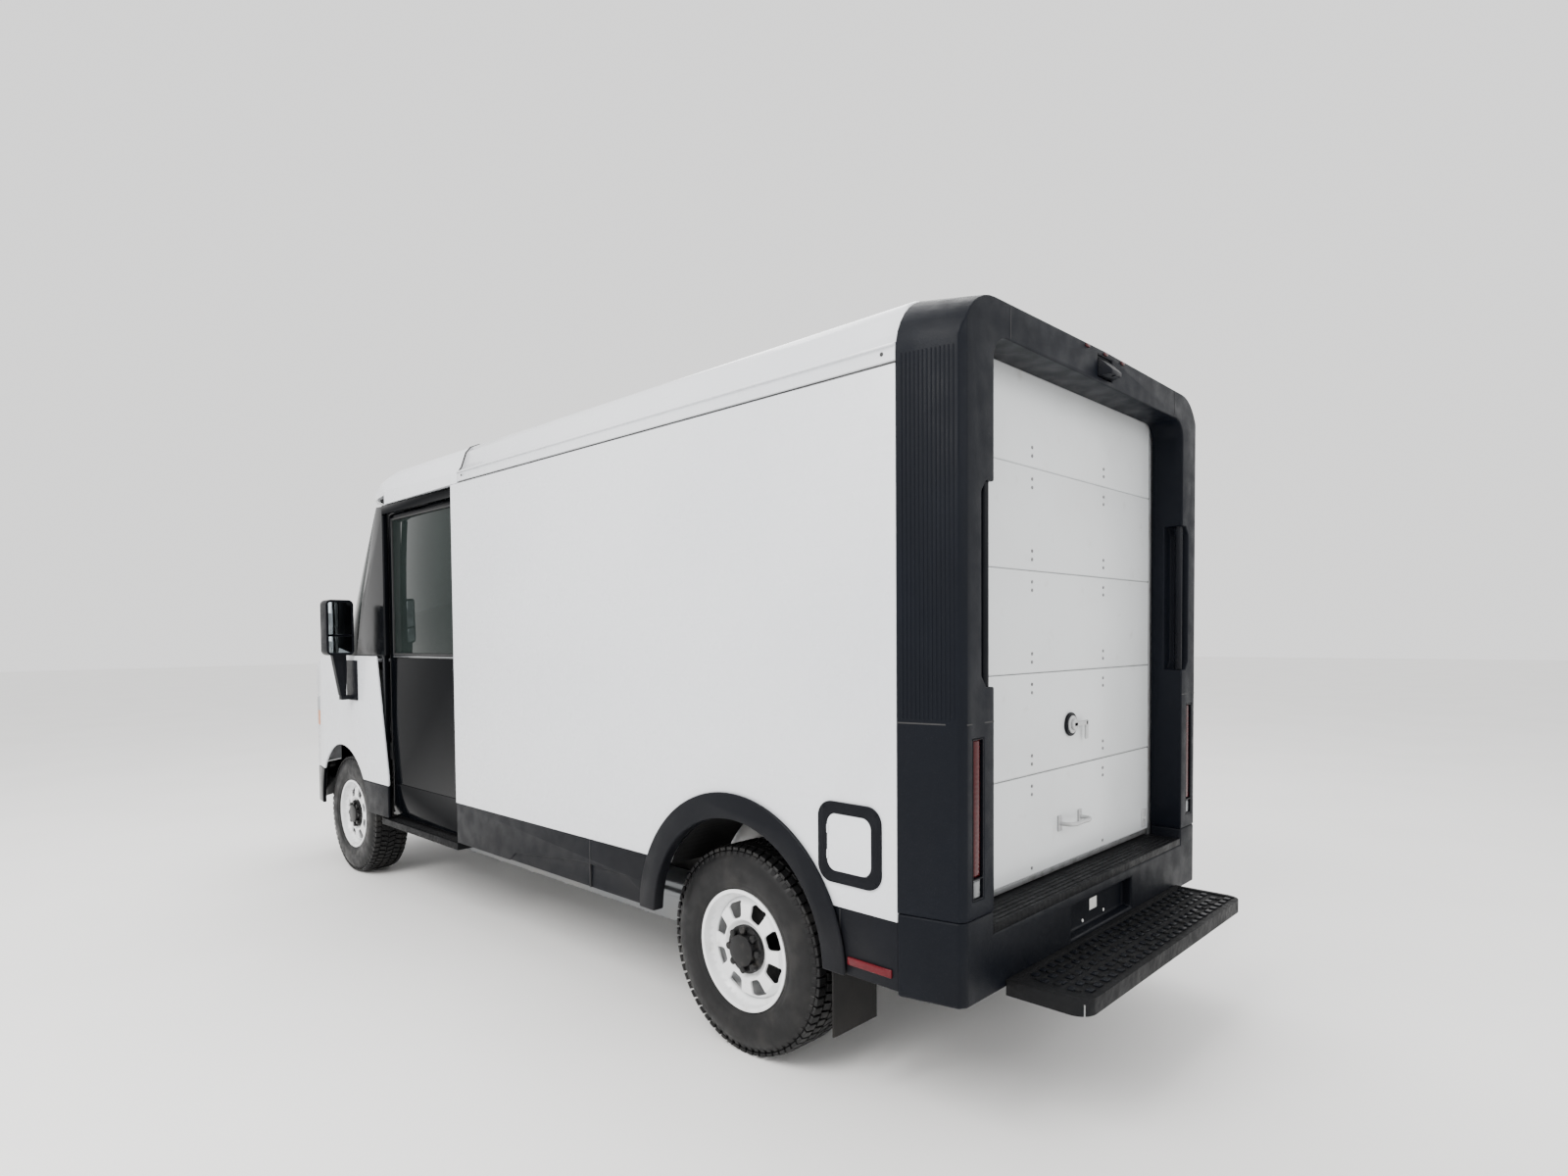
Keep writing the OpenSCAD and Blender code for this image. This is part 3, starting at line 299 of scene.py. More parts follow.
for name in ("frame_rails", "rear_axle"):
    dressed(name, chassis_black, 0.004)
dressed("battery_pack", case_grey, 0.006)
for name in ("front_axle", "knuckle_left", "knuckle_right"):
    dressed(name, cast_metal, 0.004)

# ---- wheels, tyres and hubs ----
# Pressed steel wheels in white enamel with eight hand holes, black radial tyres with blocky tread,
# and a black centre cap over the wheel nuts.

wheel_white = Finish("wheel_enamel", (0.78, 0.79, 0.80), 0.28, Coat_Weight=0.5, Coat_Roughness=0.15)
wheel_white.relief(wheel_white.noise(40, 2.0), 0.0008, 0.15)
wheel_white.tint((0.32, 0.29, 0.25), wheel_white.noise(14, 5.0).ramp(0.55, 0.75, 0.0, 0.35))
rubber = Finish("tyre_rubber", (0.0055, 0.0055, 0.006), 0.45, IOR=1.3)
rubber.relief(rubber.noise(260, 3.0), 0.0008, 0.4)
rubber.tint((0.03, 0.028, 0.026), rubber.noise(9, 5.0).ramp(0.45, 0.75, 0.0, 0.4))
rubber.roughen(rubber.noise(22, 3.0).ramp(0.3, 0.7, -0.08, 0.12))
hub_black = Finish("hub_black", (0.005, 0.005, 0.0055), 0.34, IOR=1.3)
hub_black.relief(hub_black.noise(180, 3.0), 0.0008, 0.35)
hub_black.tint((0.045, 0.04, 0.036), hub_black.noise(30, 4.0).ramp(0.55, 0.8, 0.0, 0.5))

TYRE_R, TYRE_W, RIM_R = 0.399, 0.245, 0.231
RIM_OUT, RIM_IN = 0.110, -0.100
TREAD_DEPTH = 0.009
TREAD_PITCHES = 66


def lathe(name, profile, steps, axis=(1, 0, 0), centre=(0, 0, 0)):
    """A closed outline, given as (along, radius) pairs, spun round the axle line."""
    nothing_selected()
    bpy.ops.mesh.primitive_circle_add(vertices=len(profile), radius=1, location=(0, 0, 0))
    piece = bpy.context.object
    piece.name = name
    for vertex, (along, radius) in zip(piece.data.vertices, profile):
        vertex.co = (along, 0, radius)
    bpy.ops.object.mode_set(mode="EDIT")
    bpy.ops.mesh.select_all(action="SELECT")
    bpy.ops.mesh.spin(steps=steps, angle=math.tau, center=centre, axis=axis)
    bpy.ops.mesh.select_all(action="SELECT")
    bpy.ops.mesh.remove_doubles(threshold=MERGE)
    bpy.ops.mesh.normals_make_consistent(inside=False)
    bpy.ops.object.mode_set(mode="OBJECT")
    return piece


def block(name, low, high, width=0.0, segments=2):
    """A box between two corners with eased edges."""
    nothing_selected()
    size = [b - a for a, b in zip(low, high)]
    middle = [(a + b) / 2 for a, b in zip(low, high)]
    bpy.ops.mesh.primitive_cube_add(size=1, location=middle)
    piece = bpy.context.object
    piece.name = name
    piece.scale = size
    bpy.ops.object.transform_apply(location=True, rotation=True, scale=True)
    if width:
        eased(piece, width, segments)
    return piece


def joined(name, pieces):
    nothing_selected()
    for piece in pieces:
        piece.select_set(True)
    bpy.context.view_layer.objects.active = pieces[0]
    if len(pieces) > 1:
        bpy.ops.object.join()
    pieces[0].name = name
    return pieces[0]


def moved(piece, by=(0, 0, 0), mirrored=False, turn=None):
    """Bakes a turn, a mirror in X and a shift into the mesh."""
    pick(piece)
    if turn:
        piece.rotation_euler = turn
        bpy.ops.object.transform_apply(location=False, rotation=True, scale=False)
    if mirrored:
        piece.scale = (-1, 1, 1)
        bpy.ops.object.transform_apply(location=False, rotation=False, scale=True)
        bpy.ops.object.mode_set(mode="EDIT")
        bpy.ops.mesh.select_all(action="SELECT")
        bpy.ops.mesh.normals_make_consistent(inside=False)
        bpy.ops.object.mode_set(mode="OBJECT")
    piece.location = by
    bpy.ops.object.transform_apply(location=True, rotation=False, scale=False)
    return piece


def copy_of(piece, name):
    pick(piece)
    bpy.ops.object.duplicate()
    twin = bpy.context.object
    twin.name = name
    twin.data.name = name
    return twin


half_w = TYRE_W / 2
crown = TYRE_R - TREAD_DEPTH
carcass = [
    (RIM_IN + 0.0150, RIM_R - 0.0080), (RIM_IN + 0.0094, RIM_R + 0.0010), (RIM_IN - 0.004, RIM_R + 0.008),
    (-half_w + 0.012, RIM_R + 0.022), (-half_w + 0.002, RIM_R + 0.050), (-half_w, RIM_R + 0.082),
    (-half_w + 0.004, RIM_R + 0.112), (-half_w + 0.014, RIM_R + 0.134), (-half_w + 0.030, crown - 0.006),
    (-half_w + 0.060, crown - 0.001), (0, crown), (half_w - 0.060, crown - 0.001),
    (half_w - 0.030, crown - 0.006), (half_w - 0.014, RIM_R + 0.134), (half_w - 0.004, RIM_R + 0.112),
    (half_w, RIM_R + 0.082), (half_w - 0.002, RIM_R + 0.050), (half_w - 0.004, RIM_R + 0.030),
    (half_w - 0.0065, RIM_R + 0.026), (half_w - 0.006, RIM_R + 0.020), (RIM_OUT + 0.002, RIM_R + 0.012),
    (RIM_OUT + 0.0005, RIM_R + 0.006), (RIM_OUT - 0.0084, RIM_R + 0.0010),
    (RIM_OUT - 0.0150, RIM_R - 0.0080),
    (RIM_OUT - 0.03, RIM_R + 0.05), (RIM_IN + 0.03, RIM_R + 0.05)]
tyre = lathe("tyre_model", carcass, 128)
smooth(tyre, 40)


def tread_block(x0, x1, spread, lean):
    """One tread block on the crown, leaning a little with the pattern."""
    piece = block("tread_block", (x0, -spread, crown - 0.004), (x1, spread, TYRE_R - 0.0002), 0.0014, 1)
    for vertex in piece.data.vertices:
        vertex.co.y += (vertex.co.x - x0) * lean
        vertex.co.z -= max(0.0, abs(vertex.co.x) - (half_w - 0.050)) ** 2 * 5.5
    return piece


pitch = math.tau * TYRE_R / TREAD_PITCHES
blocks = []
TREAD_ROWS = ((-0.106, -0.076, 0.12), (-0.068, -0.027, -0.25), (-0.019, 0.019, 0.30),
    (0.027, 0.068, -0.25), (0.076, 0.106, 0.12))
for x0, x1, lean in TREAD_ROWS:
    blocks.append(tread_block(x0, x1, pitch * 0.37, lean))
for side in (-1, 1):
    lug = block("shoulder_lug", (half_w - 0.019, -pitch * 0.30, crown - 0.048),
        (half_w - 0.006, pitch * 0.30, crown - 0.012), 0.002, 1)
    for vertex in lug.data.vertices:
        vertex.co.x -= max(0.0, vertex.co.z - (crown - 0.048)) * 0.32
        vertex.co.x *= side
    pick(lug)
    bpy.ops.object.mode_set(mode="EDIT")
    bpy.ops.mesh.select_all(action="SELECT")
    bpy.ops.mesh.normals_make_consistent(inside=False)
    bpy.ops.object.mode_set(mode="OBJECT")
    blocks.append(lug)
tread = joined("tread", blocks)
pick(tread)
bpy.ops.object.mode_set(mode="EDIT")
bpy.ops.mesh.select_all(action="SELECT")
bpy.ops.mesh.spin(steps=TREAD_PITCHES, angle=math.tau, dupli=True, center=(0, 0, 0), axis=(1, 0, 0))
bpy.ops.mesh.select_all(action="SELECT")
bpy.ops.mesh.remove_doubles(threshold=MERGE)
bpy.ops.object.mode_set(mode="OBJECT")
smooth(tread, 30)
tyre = joined("tyre_model", [tyre, tread])

for end in ("front", "rear"):
    for side in ("left", "right"):
        spot = f"{end}_{side}"
        low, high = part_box("tyre_" + spot)
        middle = [(a + b) / 2 for a, b in zip(low, high)]
        fitted = moved(copy_of(tyre, "tyre_rubber_" + spot), middle, mirrored=side == "right")
        fix(fitted, node_body["tyre_" + spot], rubber, ("tyre_" + spot,))
        dressed("wheel_" + spot, wheel_white, 0.0022, 2, 34)
        dressed("hub_" + spot, hub_black, 0.003, 2)
pick(tyre)
bpy.ops.object.delete()

# ---- floors and bulkhead ----
# Dark moulded cab floor with its wheel houses, a ribbed aluminium load floor, and a white painted
# steel bulkhead whose side wings are the pockets of the cab doors.

floor_black = Finish("cab_floor_black", (0.035, 0.037, 0.04), 0.7)
floor_black.relief(floor_black.grit(150), 0.0015, 0.5)
floor_black.tint((0.13, 0.12, 0.10), floor_black.noise(7, 5.0).ramp(0.5, 0.75, 0.0, 0.5))
load_metal = Finish("load_floor_metal", (0.42, 0.43, 0.44), 0.38, Metallic=0.9)
load_metal.relief((load_metal.axis("X") * 210).sine(), 0.0015, 0.5)
load_metal.relief(load_metal.noise(30, 4.0, (1, 0.05, 1)), 0.0006, 0.3)
load_metal.tint((0.2, 0.19, 0.18), load_metal.noise(5, 5.0).ramp(0.45, 0.7, 0.0, 0.6))
liner_white = Finish("liner_white", (0.62, 0.63, 0.64), 0.42)
liner_white.relief(liner_white.noise(70, 3.0), 0.0008, 0.3)
liner_white.tint((0.38, 0.36, 0.33), liner_white.noise(4, 5.0).ramp(0.5, 0.8, 0.0, 0.35))
dressed("cab_floor", floor_black, 0.003)
dressed("cargo_floor", load_metal, 0.003)
dressed("bulkhead", liner_white, 0.003)

# ---- cargo body: side panels, roof and rails ----
# Gloss-white laminated side panels with a faint ripple, a pressed roof with a sloping cove down each
# side, and an extruded rail with a gutter bead that clamps the two together.

WHITE = (0.69, 0.71, 0.745)


def white_paint(name, roughness=0.22):
    finish = Finish(name, WHITE, roughness, Coat_Weight=0.6, Coat_Roughness=0.08)
    finish.tint((0.64, 0.66, 0.70), finish.noise(1.3, 3.0).ramp(0.35, 0.7, 0.0, 0.6))
    finish.roughen(finish.noise(9, 4.0).ramp(0.4, 0.7, 0.0, 0.09))
    road_film(finish, 1.05, (0.42, 0.40, 0.37), 0.22)
    return finish


panel_white = white_paint("panel_white", 0.25)
panel_white.relief(panel_white.noise(1.0, 3.0, (1, 0.9, 26)), 0.0035, 0.35)
panel_white.relief(panel_white.noise(55, 2.0), 0.0004, 0.2)
roof_white = white_paint("roof_white", 0.2)
roof_white.relief(roof_white.noise(2.2, 2.0), 0.0015, 0.25)
rail_white = white_paint("rail_white", 0.26)
rail_white.relief(rail_white.noise(1.0, 2.0, (20, 0.5, 20)), 0.0015, 0.25)
seal_black = Finish("seal_black", (0.012, 0.012, 0.013), 0.6)
seal_black.relief(seal_black.noise(300, 2.0), 0.0006, 0.4)
seal_black.tint((0.03, 0.029, 0.027), seal_black.noise(18, 4.0).ramp(0.5, 0.8, 0.0, 0.5))
screw_steel = Finish("screw_steel", (0.45, 0.45, 0.45), 0.32, Metallic=1.0)
screw_steel.relief(screw_steel.noise(400, 2.0), 0.0004, 0.4)
screw_steel.tint((0.22, 0.20, 0.18), screw_steel.noise(60, 3.0).ramp(0.5, 0.7, 0.0, 0.7))

dressed("side_panel_left", panel_white, 0.004, 3)
dressed("side_panel_right", panel_white, 0.004, 3)
dressed("cargo_roof", roof_white, 0.010, 3, 12)
dressed("roof_rails", rail_white, 0.0015, 2)

panel_low, panel_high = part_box("side_panel_left")
rail_low, rail_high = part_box("roof_rails")
roof_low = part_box("cargo_roof")[0]


def both_sides(name, piece):
    """The piece and its mirror image on the right, as one piece."""
    twin = moved(copy_of(piece, name + "_twin"), mirrored=True)
    return joined(name, [piece, twin])


def strip(name, x0, x1, y0, y1, z0, z1, width=0.0015):
    return both_sides(name, block(name, (x0, y0, z0), (x1, y1, z1), width))


def disc(name, centre, radius, depth, along="X", sides=20, width=0.001):
    nothing_selected()
    turn = {"X": (0, math.pi / 2, 0), "Y": (math.pi / 2, 0, 0), "Z": (0, 0, 0)}[along]
    bpy.ops.mesh.primitive_cylinder_add(vertices=sides, radius=radius, depth=depth, location=centre,
        rotation=turn)
    piece = bpy.context.object
    piece.name = name
    bpy.ops.object.transform_apply(location=True, rotation=True, scale=True)
    if width:
        eased(piece, width, 2)
    return piece


# the gutter bead, a black strip of sealant under the rail that also paints the rail's shadow line, and the
# rail's end rivets
side_x = panel_high[0]
fix(strip("gutter_bead", side_x - 0.004, side_x + 0.0105, rail_low[1] + 0.004, rail_high[1] - 0.002,
    rail_high[2] - 0.011, rail_high[2] - 0.003, 0.0030), "truck", rail_white)
# black sealant strip under the rail, darkened as painted shadow under the rail's overhang
fix(strip("rail_sealant_shadow_line", side_x - 0.006, side_x + 0.0006, rail_low[1], rail_high[1],
    rail_low[2] + 0.0004, rail_low[2] + 0.0052, 0.0008), "truck", seal_black)
rivets = [disc("rail_rivet", (side_x + 0.0022, rail_high[1] - 0.05, rail_low[2] + 0.034), 0.0065, 0.0035)]
rivets += [disc("rail_rivet", (side_x + 0.0022, rail_low[1] + 0.05, rail_low[2] + 0.034), 0.0065, 0.0035)]
fix(both_sides("rail_rivets", joined("rail_rivets", rivets)), "truck", seal_black)

# the roof joint: a black gasket that follows the roof's section where the cab roof meets the cargo roof
source = frame["nodes"]["cargo_roof"]
seam_y = roof_low[1]
section = {(round(v.co.x, 4), round(v.co.z, 4)) for v in source.data.vertices
    if abs(v.co.y - seam_y) < 0.001 and v.co.x > -0.001}
half = sorted(at for at in section if not any(o != at and o[0] >= at[0] and o[1] >= at[1] for o in section))
outer = [(-x, z) for x, z in reversed(half) if x > 0.001] + half
gasket_data = bpy.data.curves.new("roof_gasket", "CURVE")
gasket_data.dimensions = "3D"
gasket_data.bevel_depth = 0.0065
gasket_data.bevel_resolution = 2
line = gasket_data.splines.new("POLY")
line.points.add(len(outer) - 1)
for point, (x, z) in zip(line.points, outer):
    point.co = (x, seam_y, z - 0.002, 1)
gasket = bpy.data.objects.new("roof_gasket", gasket_data)
bpy.context.collection.objects.link(gasket)
pick(gasket)
bpy.ops.object.convert(target="MESH")
fix(gasket, "truck", seal_black)

# ---- skirts, arch flares, mud flaps and reflectors ----
# Black moulded lower panels with a pressed crease, rounded arch flares over the rear wheels, rubber
# mud flaps bolted behind them, and a red reflector on each rear skirt.

BLACK = (0.0036, 0.0042, 0.0062)


def moulded_black(name, roughness=0.42, colour=BLACK, grain=0.5):
    finish = Finish(name, colour, roughness, IOR=1.19)
    finish.relief(finish.grit(420), 0.0007, grain)
    finish.relief(finish.noise(6, 3.0), 0.0008, 0.15)
    finish.tint(tuple(1.6 * part for part in colour), finish.noise(2.4, 5.0).ramp(0.45, 0.75, 0.0, 0.5))
    finish.roughen(finish.noise(13, 4.0).ramp(0.3, 0.7, -0.05, 0.09))
    return finish


skirt_black = moulded_black("skirt_black", 0.4)
road_film(skirt_black, 0.85, (0.05, 0.047, 0.044), 0.3)
flare_black = moulded_black("flare_black", 0.36)
road_film(flare_black, 1.0, (0.05, 0.047, 0.044), 0.25)
flap_rubber = Finish("flap_rubber", (0.005, 0.005, 0.0055), 0.62, IOR=1.25)
flap_rubber.relief(flap_rubber.noise(90, 3.0), 0.001, 0.4)
road_film(flap_rubber, 0.7, (0.045, 0.042, 0.038), 0.5)
dressed("lower_skirts", skirt_black, 0.008, 3)
dressed("arch_flares", flare_black, 0.011, 3)
dressed("mud_flaps", flap_rubber, 0.003)
flare_low, flare_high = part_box("arch_flares")
arch_y = (flare_low[1] + flare_high[1]) / 2
arch_r = (flare_high[1] - flare_low[1]) / 2 - 0.098
arch_z = flare_high[2] - (flare_high[1] - flare_low[1]) / 2
nothing_selected()
bpy.ops.mesh.primitive_circle_add(vertices=96, radius=arch_r + 0.006, location=(0, 0, 0),
    rotation=(0, math.pi / 2, 0))
liner = bpy.context.object
liner.name = "wheel_housing_liners"
bpy.ops.object.transform_apply(location=True, rotation=True, scale=True)
bpy.ops.object.mode_set(mode="EDIT")
bpy.ops.mesh.select_all(action="SELECT")
bpy.ops.mesh.extrude_region_move(TRANSFORM_OT_translate={"value": (0.31, 0, 0)})
bpy.ops.object.mode_set(mode="OBJECT")
moved(liner, (0.655, arch_y, arch_z))
apply_modifier(liner, "SOLIDIFY", thickness=0.004, offset=1)
cutter = block("below_liner", (0.5, arch_y - 1, arch_z - 1), (1.2, arch_y + 1, arch_z + 0.205))
cutter.hide_render = True
apply_modifier(liner, "BOOLEAN", object=cutter, operation="DIFFERENCE", solver="EXACT")
bpy.data.objects.remove(cutter)
fix(both_sides("wheel_housing_liners", liner), "truck", flap_rubber)


def lens(name, colour, roughness=0.12):
    finish = Finish(name, colour, roughness, IOR=1.3)
    finish.relief((finish.axis("Z") * 420).sine(), 0.0004, 0.3)
    finish.tint(tuple(c * 0.6 for c in colour), finish.noise(14, 3.0).ramp(0.35, 0.65, 0.0, 0.6))
    return finish


red_lens = lens("red_lens", (0.085, 0.004, 0.008))
tail_lens = lens("tail_lens", (0.045, 0.0025, 0.004), 0.18)
clear_lens = lens("clear_lens", (0.16, 0.165, 0.17))
dressed("side_reflectors", red_lens, 0.002)

skirt_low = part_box("lower_skirts")[0]
FRONT_SEAM, REAR_SEAM = panel_low[1] + 1.273, panel_high[1] - 0.235
seams = [block("skirt_seam", (side_x - 0.014, y - 0.0015, skirt_low[2] + 0.002),
    (side_x - 0.0034, y + 0.0015, panel_low[2] - 0.004)) for y in (FRONT_SEAM, REAR_SEAM)]
fix(both_sides("skirt_seams", joined("skirt_seams", seams)), "truck", seal_black)

# ---- charge flap ----
# A square black frame with rounded corners screwed to the left panel, a white flap inside it on two
# small hinges, and the charging socket in a shallow cup behind the flap.

frame_black = moulded_black("charge_frame_black", 0.5)
flap_white = white_paint("flap_white", 0.22)
dressed("charge_frame", frame_black, 0.0022, 3)
dressed("charge_door", flap_white, 0.0014, 3)
cup_low, cup_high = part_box("charge_frame")
cup_at = [(a + b) / 2 for a, b in zip(cup_low, cup_high)]
CONTACTS, CONTACT_RING = 5, 0.017
contact_x = side_x - 0.0085
contacts = []
for i in range(CONTACTS):
    y = cup_at[1] + CONTACT_RING * math.cos(math.tau * i / CONTACTS)
    z = cup_at[2] + CONTACT_RING * math.sin(math.tau * i / CONTACTS)
    contacts.append(disc("contact", (contact_x, y, z), 0.0045, 0.006))
contacts.append(disc("contact", (contact_x, cup_at[1], cup_at[2]), 0.005, 0.006))
fix(joined("charge_contacts", contacts), "truck", screw_steel)

# ---- rear surround and bumper ----
# A deep satin-black moulding in two heights round the rear door, ribbed on its upper flanks, with a
# separate lower bumper, a number-plate recess, grab bars in its inner corners and a ribbed sill.

surround_black = moulded_black("surround_black", 0.42, (0.0030, 0.0040, 0.0068), 0.6)
bumper_black = moulded_black("bumper_black", 0.44, (0.0028, 0.0036, 0.0058), 0.6)
tread_black = moulded_black("tread_black", 0.5, (0.0042, 0.0045, 0.0052), 0.8)
tread_black.relief(tread_black.grit(38), 0.004, 0.6)
road_film(tread_black, 0.9, (0.03, 0.029, 0.028), 0.25)
bar_black = moulded_black("grab_bar_black", 0.3)
dressed("rear_portal", surround_black, 0.009, 3)
dressed("rear_bumper", bumper_black, 0.009, 3)
dressed("grab_bars", bar_black, 0.002)
dressed("tread_plates", tread_black, 0.0015)

portal_low, portal_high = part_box("rear_portal")
bumper_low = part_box("rear_bumper")[0]
lamp_low, lamp_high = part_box("tail_lamps")
rear_y = portal_high[1]
front_y = portal_low[1]
half_body = portal_high[0]
seam_z = portal_low[2] + 0.593
flank = []
FLANK_TAPER = 0.045
flank_turn = math.atan2(FLANK_TAPER, rear_y - 0.014 - front_y)
RIBS = 13
for i in range(RIBS):
    along = 0.020 + i * (rear_y - front_y - 0.050) / (RIBS - 1)
    x = half_body - along * math.tan(flank_turn)
    flank.append(block("flank_rib", (x - 0.003, front_y + along - 0.0030, seam_z + 0.012),
        (x + 0.0010, front_y + along + 0.0030, portal_high[2] - 0.215), 0.0008, 1))
fix(both_sides("flank_ribs", joined("flank_ribs", flank)), "truck", surround_black)

pick(block("flank_joint", (half_body - 0.020, front_y + 0.004, seam_z - 0.0022),
    (half_body + 0.0008, rear_y - 0.050, seam_z + 0.0022)))
bpy.ops.transform.rotate(value=-flank_turn, orient_axis="Z", center_override=(half_body, front_y, seam_z))
bpy.ops.object.transform_apply(location=True, rotation=True, scale=True)
joints = [bpy.context.object]
outer_x, inner_x = lamp_high[0], lamp_high[0] - 0.060
joints.append(block("face_joint", (outer_x + 0.004, rear_y - 0.01, seam_z - 0.0018),
    (half_body - 0.068, rear_y + 0.0006, seam_z + 0.0018)))
joints.append(block("face_joint", (0.792, rear_y - 0.01, seam_z - 0.0018),
    (inner_x - 0.004, rear_y + 0.0006, seam_z + 0.0018)))
joints.append(block("header_joint", (0.690, rear_y - 0.01, 2.520),
    (0.6926, rear_y + 0.0006, portal_high[2] - 0.042)))
fix(both_sides("surround_joints", joined("surround_joints", joints)), "truck", seal_black)

# plate recess: white plate lamp, a blank label and two small white fasteners
recess_z = bumper_low[2] + 0.036
trims = [block("plate_lamp", (-0.055, rear_y - 0.0415, recess_z + 0.115),
    (0.055, rear_y - 0.030, recess_z + 0.142), 0.003),
    block("plate_label", (-0.030, rear_y - 0.0415, recess_z + 0.045),
    (0.030, rear_y - 0.0395, recess_z + 0.088), 0.0006)]
for x, z in ((-0.09, 0.020), (0.09, 0.020), (-0.09, 0.105), (0.09, 0.105)):
    trims.append(disc("plate_fastener", (x, rear_y - 0.040, recess_z + z), 0.006, 0.004, "Y"))
label_white = Finish("label_white", (0.7, 0.7, 0.68), 0.45)
label_white.relief(label_white.noise(120, 2.0), 0.0004, 0.3)
label_white.tint((0.45, 0.43, 0.4), label_white.noise(25, 3.0).ramp(0.5, 0.7, 0.0, 0.5))
fix(joined("plate_trims", trims), "truck", label_white)

# ---- rear lamps ----
# Slim upright lamps sunk in the surround: red over most of the height, clear reversing section below,
# each with a dark rim, plus three small red markers and a camera housing on the header.

red_low, red_high = lamp_low[2] + 0.066, lamp_high[2]
lamp_back, lamp_front = lamp_low[1], lamp_high[1]


def upright_lamp(name, z0, z1, finish):
    bars = [block("lamp_body", (inner_x + 0.003, lamp_back, z0),
        (outer_x - 0.003, lamp_front - 0.006, z1), 0.005, 3),
        block("lamp_blade", (inner_x + 0.014, lamp_front - 0.010, z0 + 0.006),
        (outer_x - 0.014, lamp_front - 0.002, z1 - 0.006), 0.003, 3)]
    fix(both_sides(name, joined(name, bars)), "truck", finish, ("tail_lamps",))


upright_lamp("tail_lamp_red", red_low, red_high, tail_lens)
upright_lamp("reversing_lamp", lamp_low[2], red_low - 0.004, clear_lens)
rim_bars = (
    (inner_x - 0.001, inner_x + 0.003, lamp_low[2], red_high),
    (outer_x - 0.003, outer_x + 0.001, lamp_low[2], red_high),
    (inner_x, outer_x, red_low - 0.004, red_low),
    (inner_x, outer_x, red_high - 0.003, red_high + 0.001),
    (inner_x, outer_x, lamp_low[2] - 0.001, lamp_low[2] + 0.003))
rims = [block("lamp_rim", (x0, lamp_back, z0), (x1, rear_y - 0.001, z1), 0.001, 1)
    for x0, x1, z0, z1 in rim_bars]
fix(both_sides("lamp_rims", joined("lamp_rims", rims)), "truck", bar_black)

head_low, head_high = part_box("header_lamps")
MARKER_PITCH = 0.15
markers = [block("marker", (s * MARKER_PITCH - 0.015, rear_y - 0.002, head_high[2] - 0.011),
    (s * MARKER_PITCH + 0.015, rear_y + 0.005, head_high[2]), 0.003, 3) for s in (-1, 0, 1)]
fix(joined("header_markers", markers), "truck", tail_lens, ("header_lamps",))
housing = block("camera_housing", (-0.060, rear_y - 0.010, head_low[2]),
    (0.060, head_high[1], head_low[2] + 0.076))
for vertex in housing.data.vertices:
    if vertex.co.y > rear_y:
        vertex.co.x *= 0.72
        vertex.co.z += -0.056 if vertex.co.z > head_low[2] + 0.02 else 0.004
eased(housing, 0.004, 3)
eye = disc("camera_eye", (0, head_high[1] - 0.010, head_low[2] + 0.003), 0.009, 0.006, "Z", 24)
fix(joined("rear_camera_housing", [housing, eye]), "truck", bar_black, ("header_lamps",))

# ---- rear step ----
# A black cast step on two arms under the bumper. Its deck is covered in staggered raised grips, and a
# row of small lugs runs along its outer edge.

step_low, step_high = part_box("rear_step")
dressed("rear_step", tread_black, 0.004, 3)
grips = []
deck = step_high[2] - 0.005
columns, rows = 24, 5
grip_span = step_high[0] - step_low[0] - 0.110
for i in range(columns):
    for j in range(rows):
        x = step_low[0] + 0.055 + (i + (0.5 if j % 2 else 0.0)) * grip_span / columns
        y = step_high[1] - 0.225 + j * 0.0455
        if x > step_high[0] - 0.05:
            continue
        grips.append(block("grip", (x - 0.0150, y - 0.012, deck - 0.001),
            (x + 0.0150, y + 0.012, deck + 0.0049), 0.0045, 2))
for i in range(30):
    x = step_low[0] + 0.07 + i * (step_high[0] - step_low[0] - 0.14) / 29
    grips.append(block("edge_lug", (x - 0.009, step_high[1] - 0.016, deck),
        (x + 0.009, step_high[1] - 0.0005, step_high[2] - 0.0004), 0.002, 1))
fix(joined("step_grips", grips), "truck", bar_black)

# ---- roll-up rear door ----
# Painted laminated sections hinged together inside, riveted to their hinge plates in two columns, with
# a black escutcheon and L-shaped latch lever, a bent pull handle and corner catches.

# the door's white is set greyer than the side panels' white: painted shade on the rear face
door_white = Finish("rear_door_white", (0.60, 0.62, 0.63), 0.36, Coat_Weight=0.2, Coat_Roughness=0.2)
door_white.relief(door_white.noise(1.0, 3.0, (1.2, 1, 14)), 0.0018, 0.3)
door_white.relief(door_white.noise(85, 3.0), 0.0006, 0.35)
door_white.tint((0.53, 0.545, 0.55), door_white.noise(2.2, 4.0).ramp(0.4, 0.7, 0.0, 0.5))
door_white.tint((0.34, 0.33, 0.31), door_white.noise(11, 5.0).ramp(0.62, 0.8, 0.0, 0.35))
# the fittings are white; this grey is painted shade standing in for the shading on the white lever, pull
# handle and catches
fitting_white_painted_shade = Finish("fitting_white_painted_shade", (0.42, 0.425, 0.43), 0.35, Metallic=0.15)
fitting_white_painted_shade.relief(fitting_white_painted_shade.noise(150, 2.0), 0.0005, 0.3)
fitting_white_painted_shade.tint((0.32, 0.315, 0.30), fitting_white_painted_shade.noise(28, 4.0).ramp(0.5, 0.75, 0.0, 0.5))
